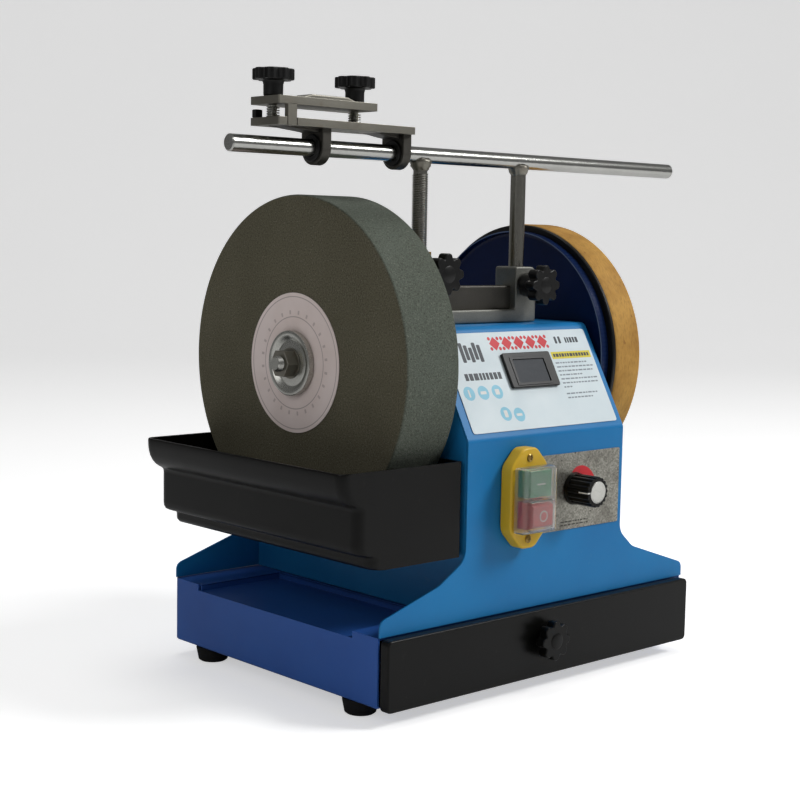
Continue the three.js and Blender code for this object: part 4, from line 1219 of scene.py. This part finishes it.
# %% Floor
SWEEP_TURN = math.radians(-42.35)
FLOOR_GLOW = 0.5
bm = bmesh.new()
line = bm.edges.new([bm.verts.new((-14, -6, 0)), bm.verts.new((14, -6, 0))])
pushed = bmesh.ops.extrude_edge_only(bm, edges=[line])["geom"]
bmesh.ops.translate(bm, vec=(0, 9, 0), verts=[g for g in pushed if isinstance(g, bmesh.types.BMVert)])
line = [g for g in pushed if isinstance(g, bmesh.types.BMEdge) and all(v.co.y > 2.9 for v in g.verts)]
bent = bmesh.ops.spin(bm, geom=line + [v for e in line for v in e.verts], cent=(0, 3, 3),
    axis=(1, 0, 0), angle=math.pi / 2, steps=32)
line = [g for g in bent["geom_last"] if isinstance(g, bmesh.types.BMEdge)]
pushed = bmesh.ops.extrude_edge_only(bm, edges=line)["geom"]
bmesh.ops.translate(bm, vec=(0, 0, 5), verts=[g for g in pushed if isinstance(g, bmesh.types.BMVert)])
bm.transform(Matrix.Rotation(SWEEP_TURN, 4, "Z"))
mesh = bpy.data.meshes.new("floor")
bmesh.ops.recalc_face_normals(bm, faces=bm.faces)
bm.faces.ensure_lookup_table()
if bm.faces[0].normal.z < 0:
    bmesh.ops.reverse_faces(bm, faces=bm.faces)
bm.to_mesh(mesh)
bm.free()
mesh.shade_smooth()
floor = bpy.data.objects.new("floor", mesh)
bpy.context.collection.objects.link(floor)
f = Finish("floor_white", specular=0.1)
soft = noise_of(f.tree, place(f.tree), 3.0, 3.0)
f.shader.inputs["Emission Color"].default_value = (1, 1, 1, 1)
seen = add_node(f.tree, "ShaderNodeLightPath").outputs["Is Camera Ray"]
f.tree.links.new(calc(f.tree, "MULTIPLY", seen, FLOOR_GLOW), f.shader.inputs["Emission Strength"])
mesh.materials.append(f.done(f.mix(soft, (0.86, 0.86, 0.86, 1), (0.9, 0.9, 0.9, 1)),
    spread(f.tree, soft, 0, 1, 0.6, 0.7)))


# %% Lights
def soft_light(name, place_at, towards, size, power):
    data = bpy.data.lights.new(name, "AREA")
    data.shape, data.size, data.energy = "DISK", size, power
    light = bpy.data.objects.new(name, data)
    light.location = place_at
    light.rotation_mode = "QUATERNION"
    light.rotation_quaternion = (Vector(towards) - Vector(place_at)).to_track_quat("-Z", "Y")
    bpy.context.collection.objects.link(light)


soft_light("key", (1.5, -1.7, 2.0), (0, 0, 0.2), 1.0, 50)
soft_light("side", (-1.9, -0.3, 1.3), (0, 0, 0.2), 1.3, 6)
soft_light("top", (0.1, 0.2, 2.2), (0, 0, 0.2), 1.2, 12)
world = bpy.data.worlds.new("studio")
world.use_nodes = True
world.node_tree.nodes["Background"].inputs["Color"].default_value = (1, 1, 1, 1)
world.node_tree.nodes["Background"].inputs["Strength"].default_value = 0.17
bpy.context.scene.world = world
bpy.context.scene.view_settings.view_transform = "Standard"

# %% Camera
turn, rise, roll = math.radians(-42.4), math.radians(5.944), math.radians(1.05)
back = Vector((math.sin(turn) * math.cos(rise), -math.cos(turn) * math.cos(rise), math.sin(rise)))
right = (-back).cross(Vector((0, 0, 1))).normalized()
up = right.cross(-back)
rolled_right, rolled_up = right * math.cos(roll) + up * math.sin(roll), up * math.cos(roll) - right * math.sin(roll)
camera_data = bpy.data.cameras.new("camera")
camera_data.lens, camera_data.sensor_width, camera_data.clip_end = 70.2, 36.0, 100.0
camera = bpy.data.objects.new("camera", camera_data)
camera.matrix_world = Matrix.Translation(near(-725.4, -912.1, 94.6)) @ Matrix((rolled_right, rolled_up,
    back)).transposed().to_4x4()
bpy.context.collection.objects.link(camera)
bpy.context.scene.camera = camera
print("camera at", [round(v, 3) for v in camera.location])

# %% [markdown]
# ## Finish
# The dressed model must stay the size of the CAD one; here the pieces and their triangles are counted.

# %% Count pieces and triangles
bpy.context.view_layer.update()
triangles = sum(len(p.vertices) - 2 for o in bpy.data.objects if o.type == "MESH" for p in o.data.polygons)
print("pieces:", len(made), "triangles:", triangles)
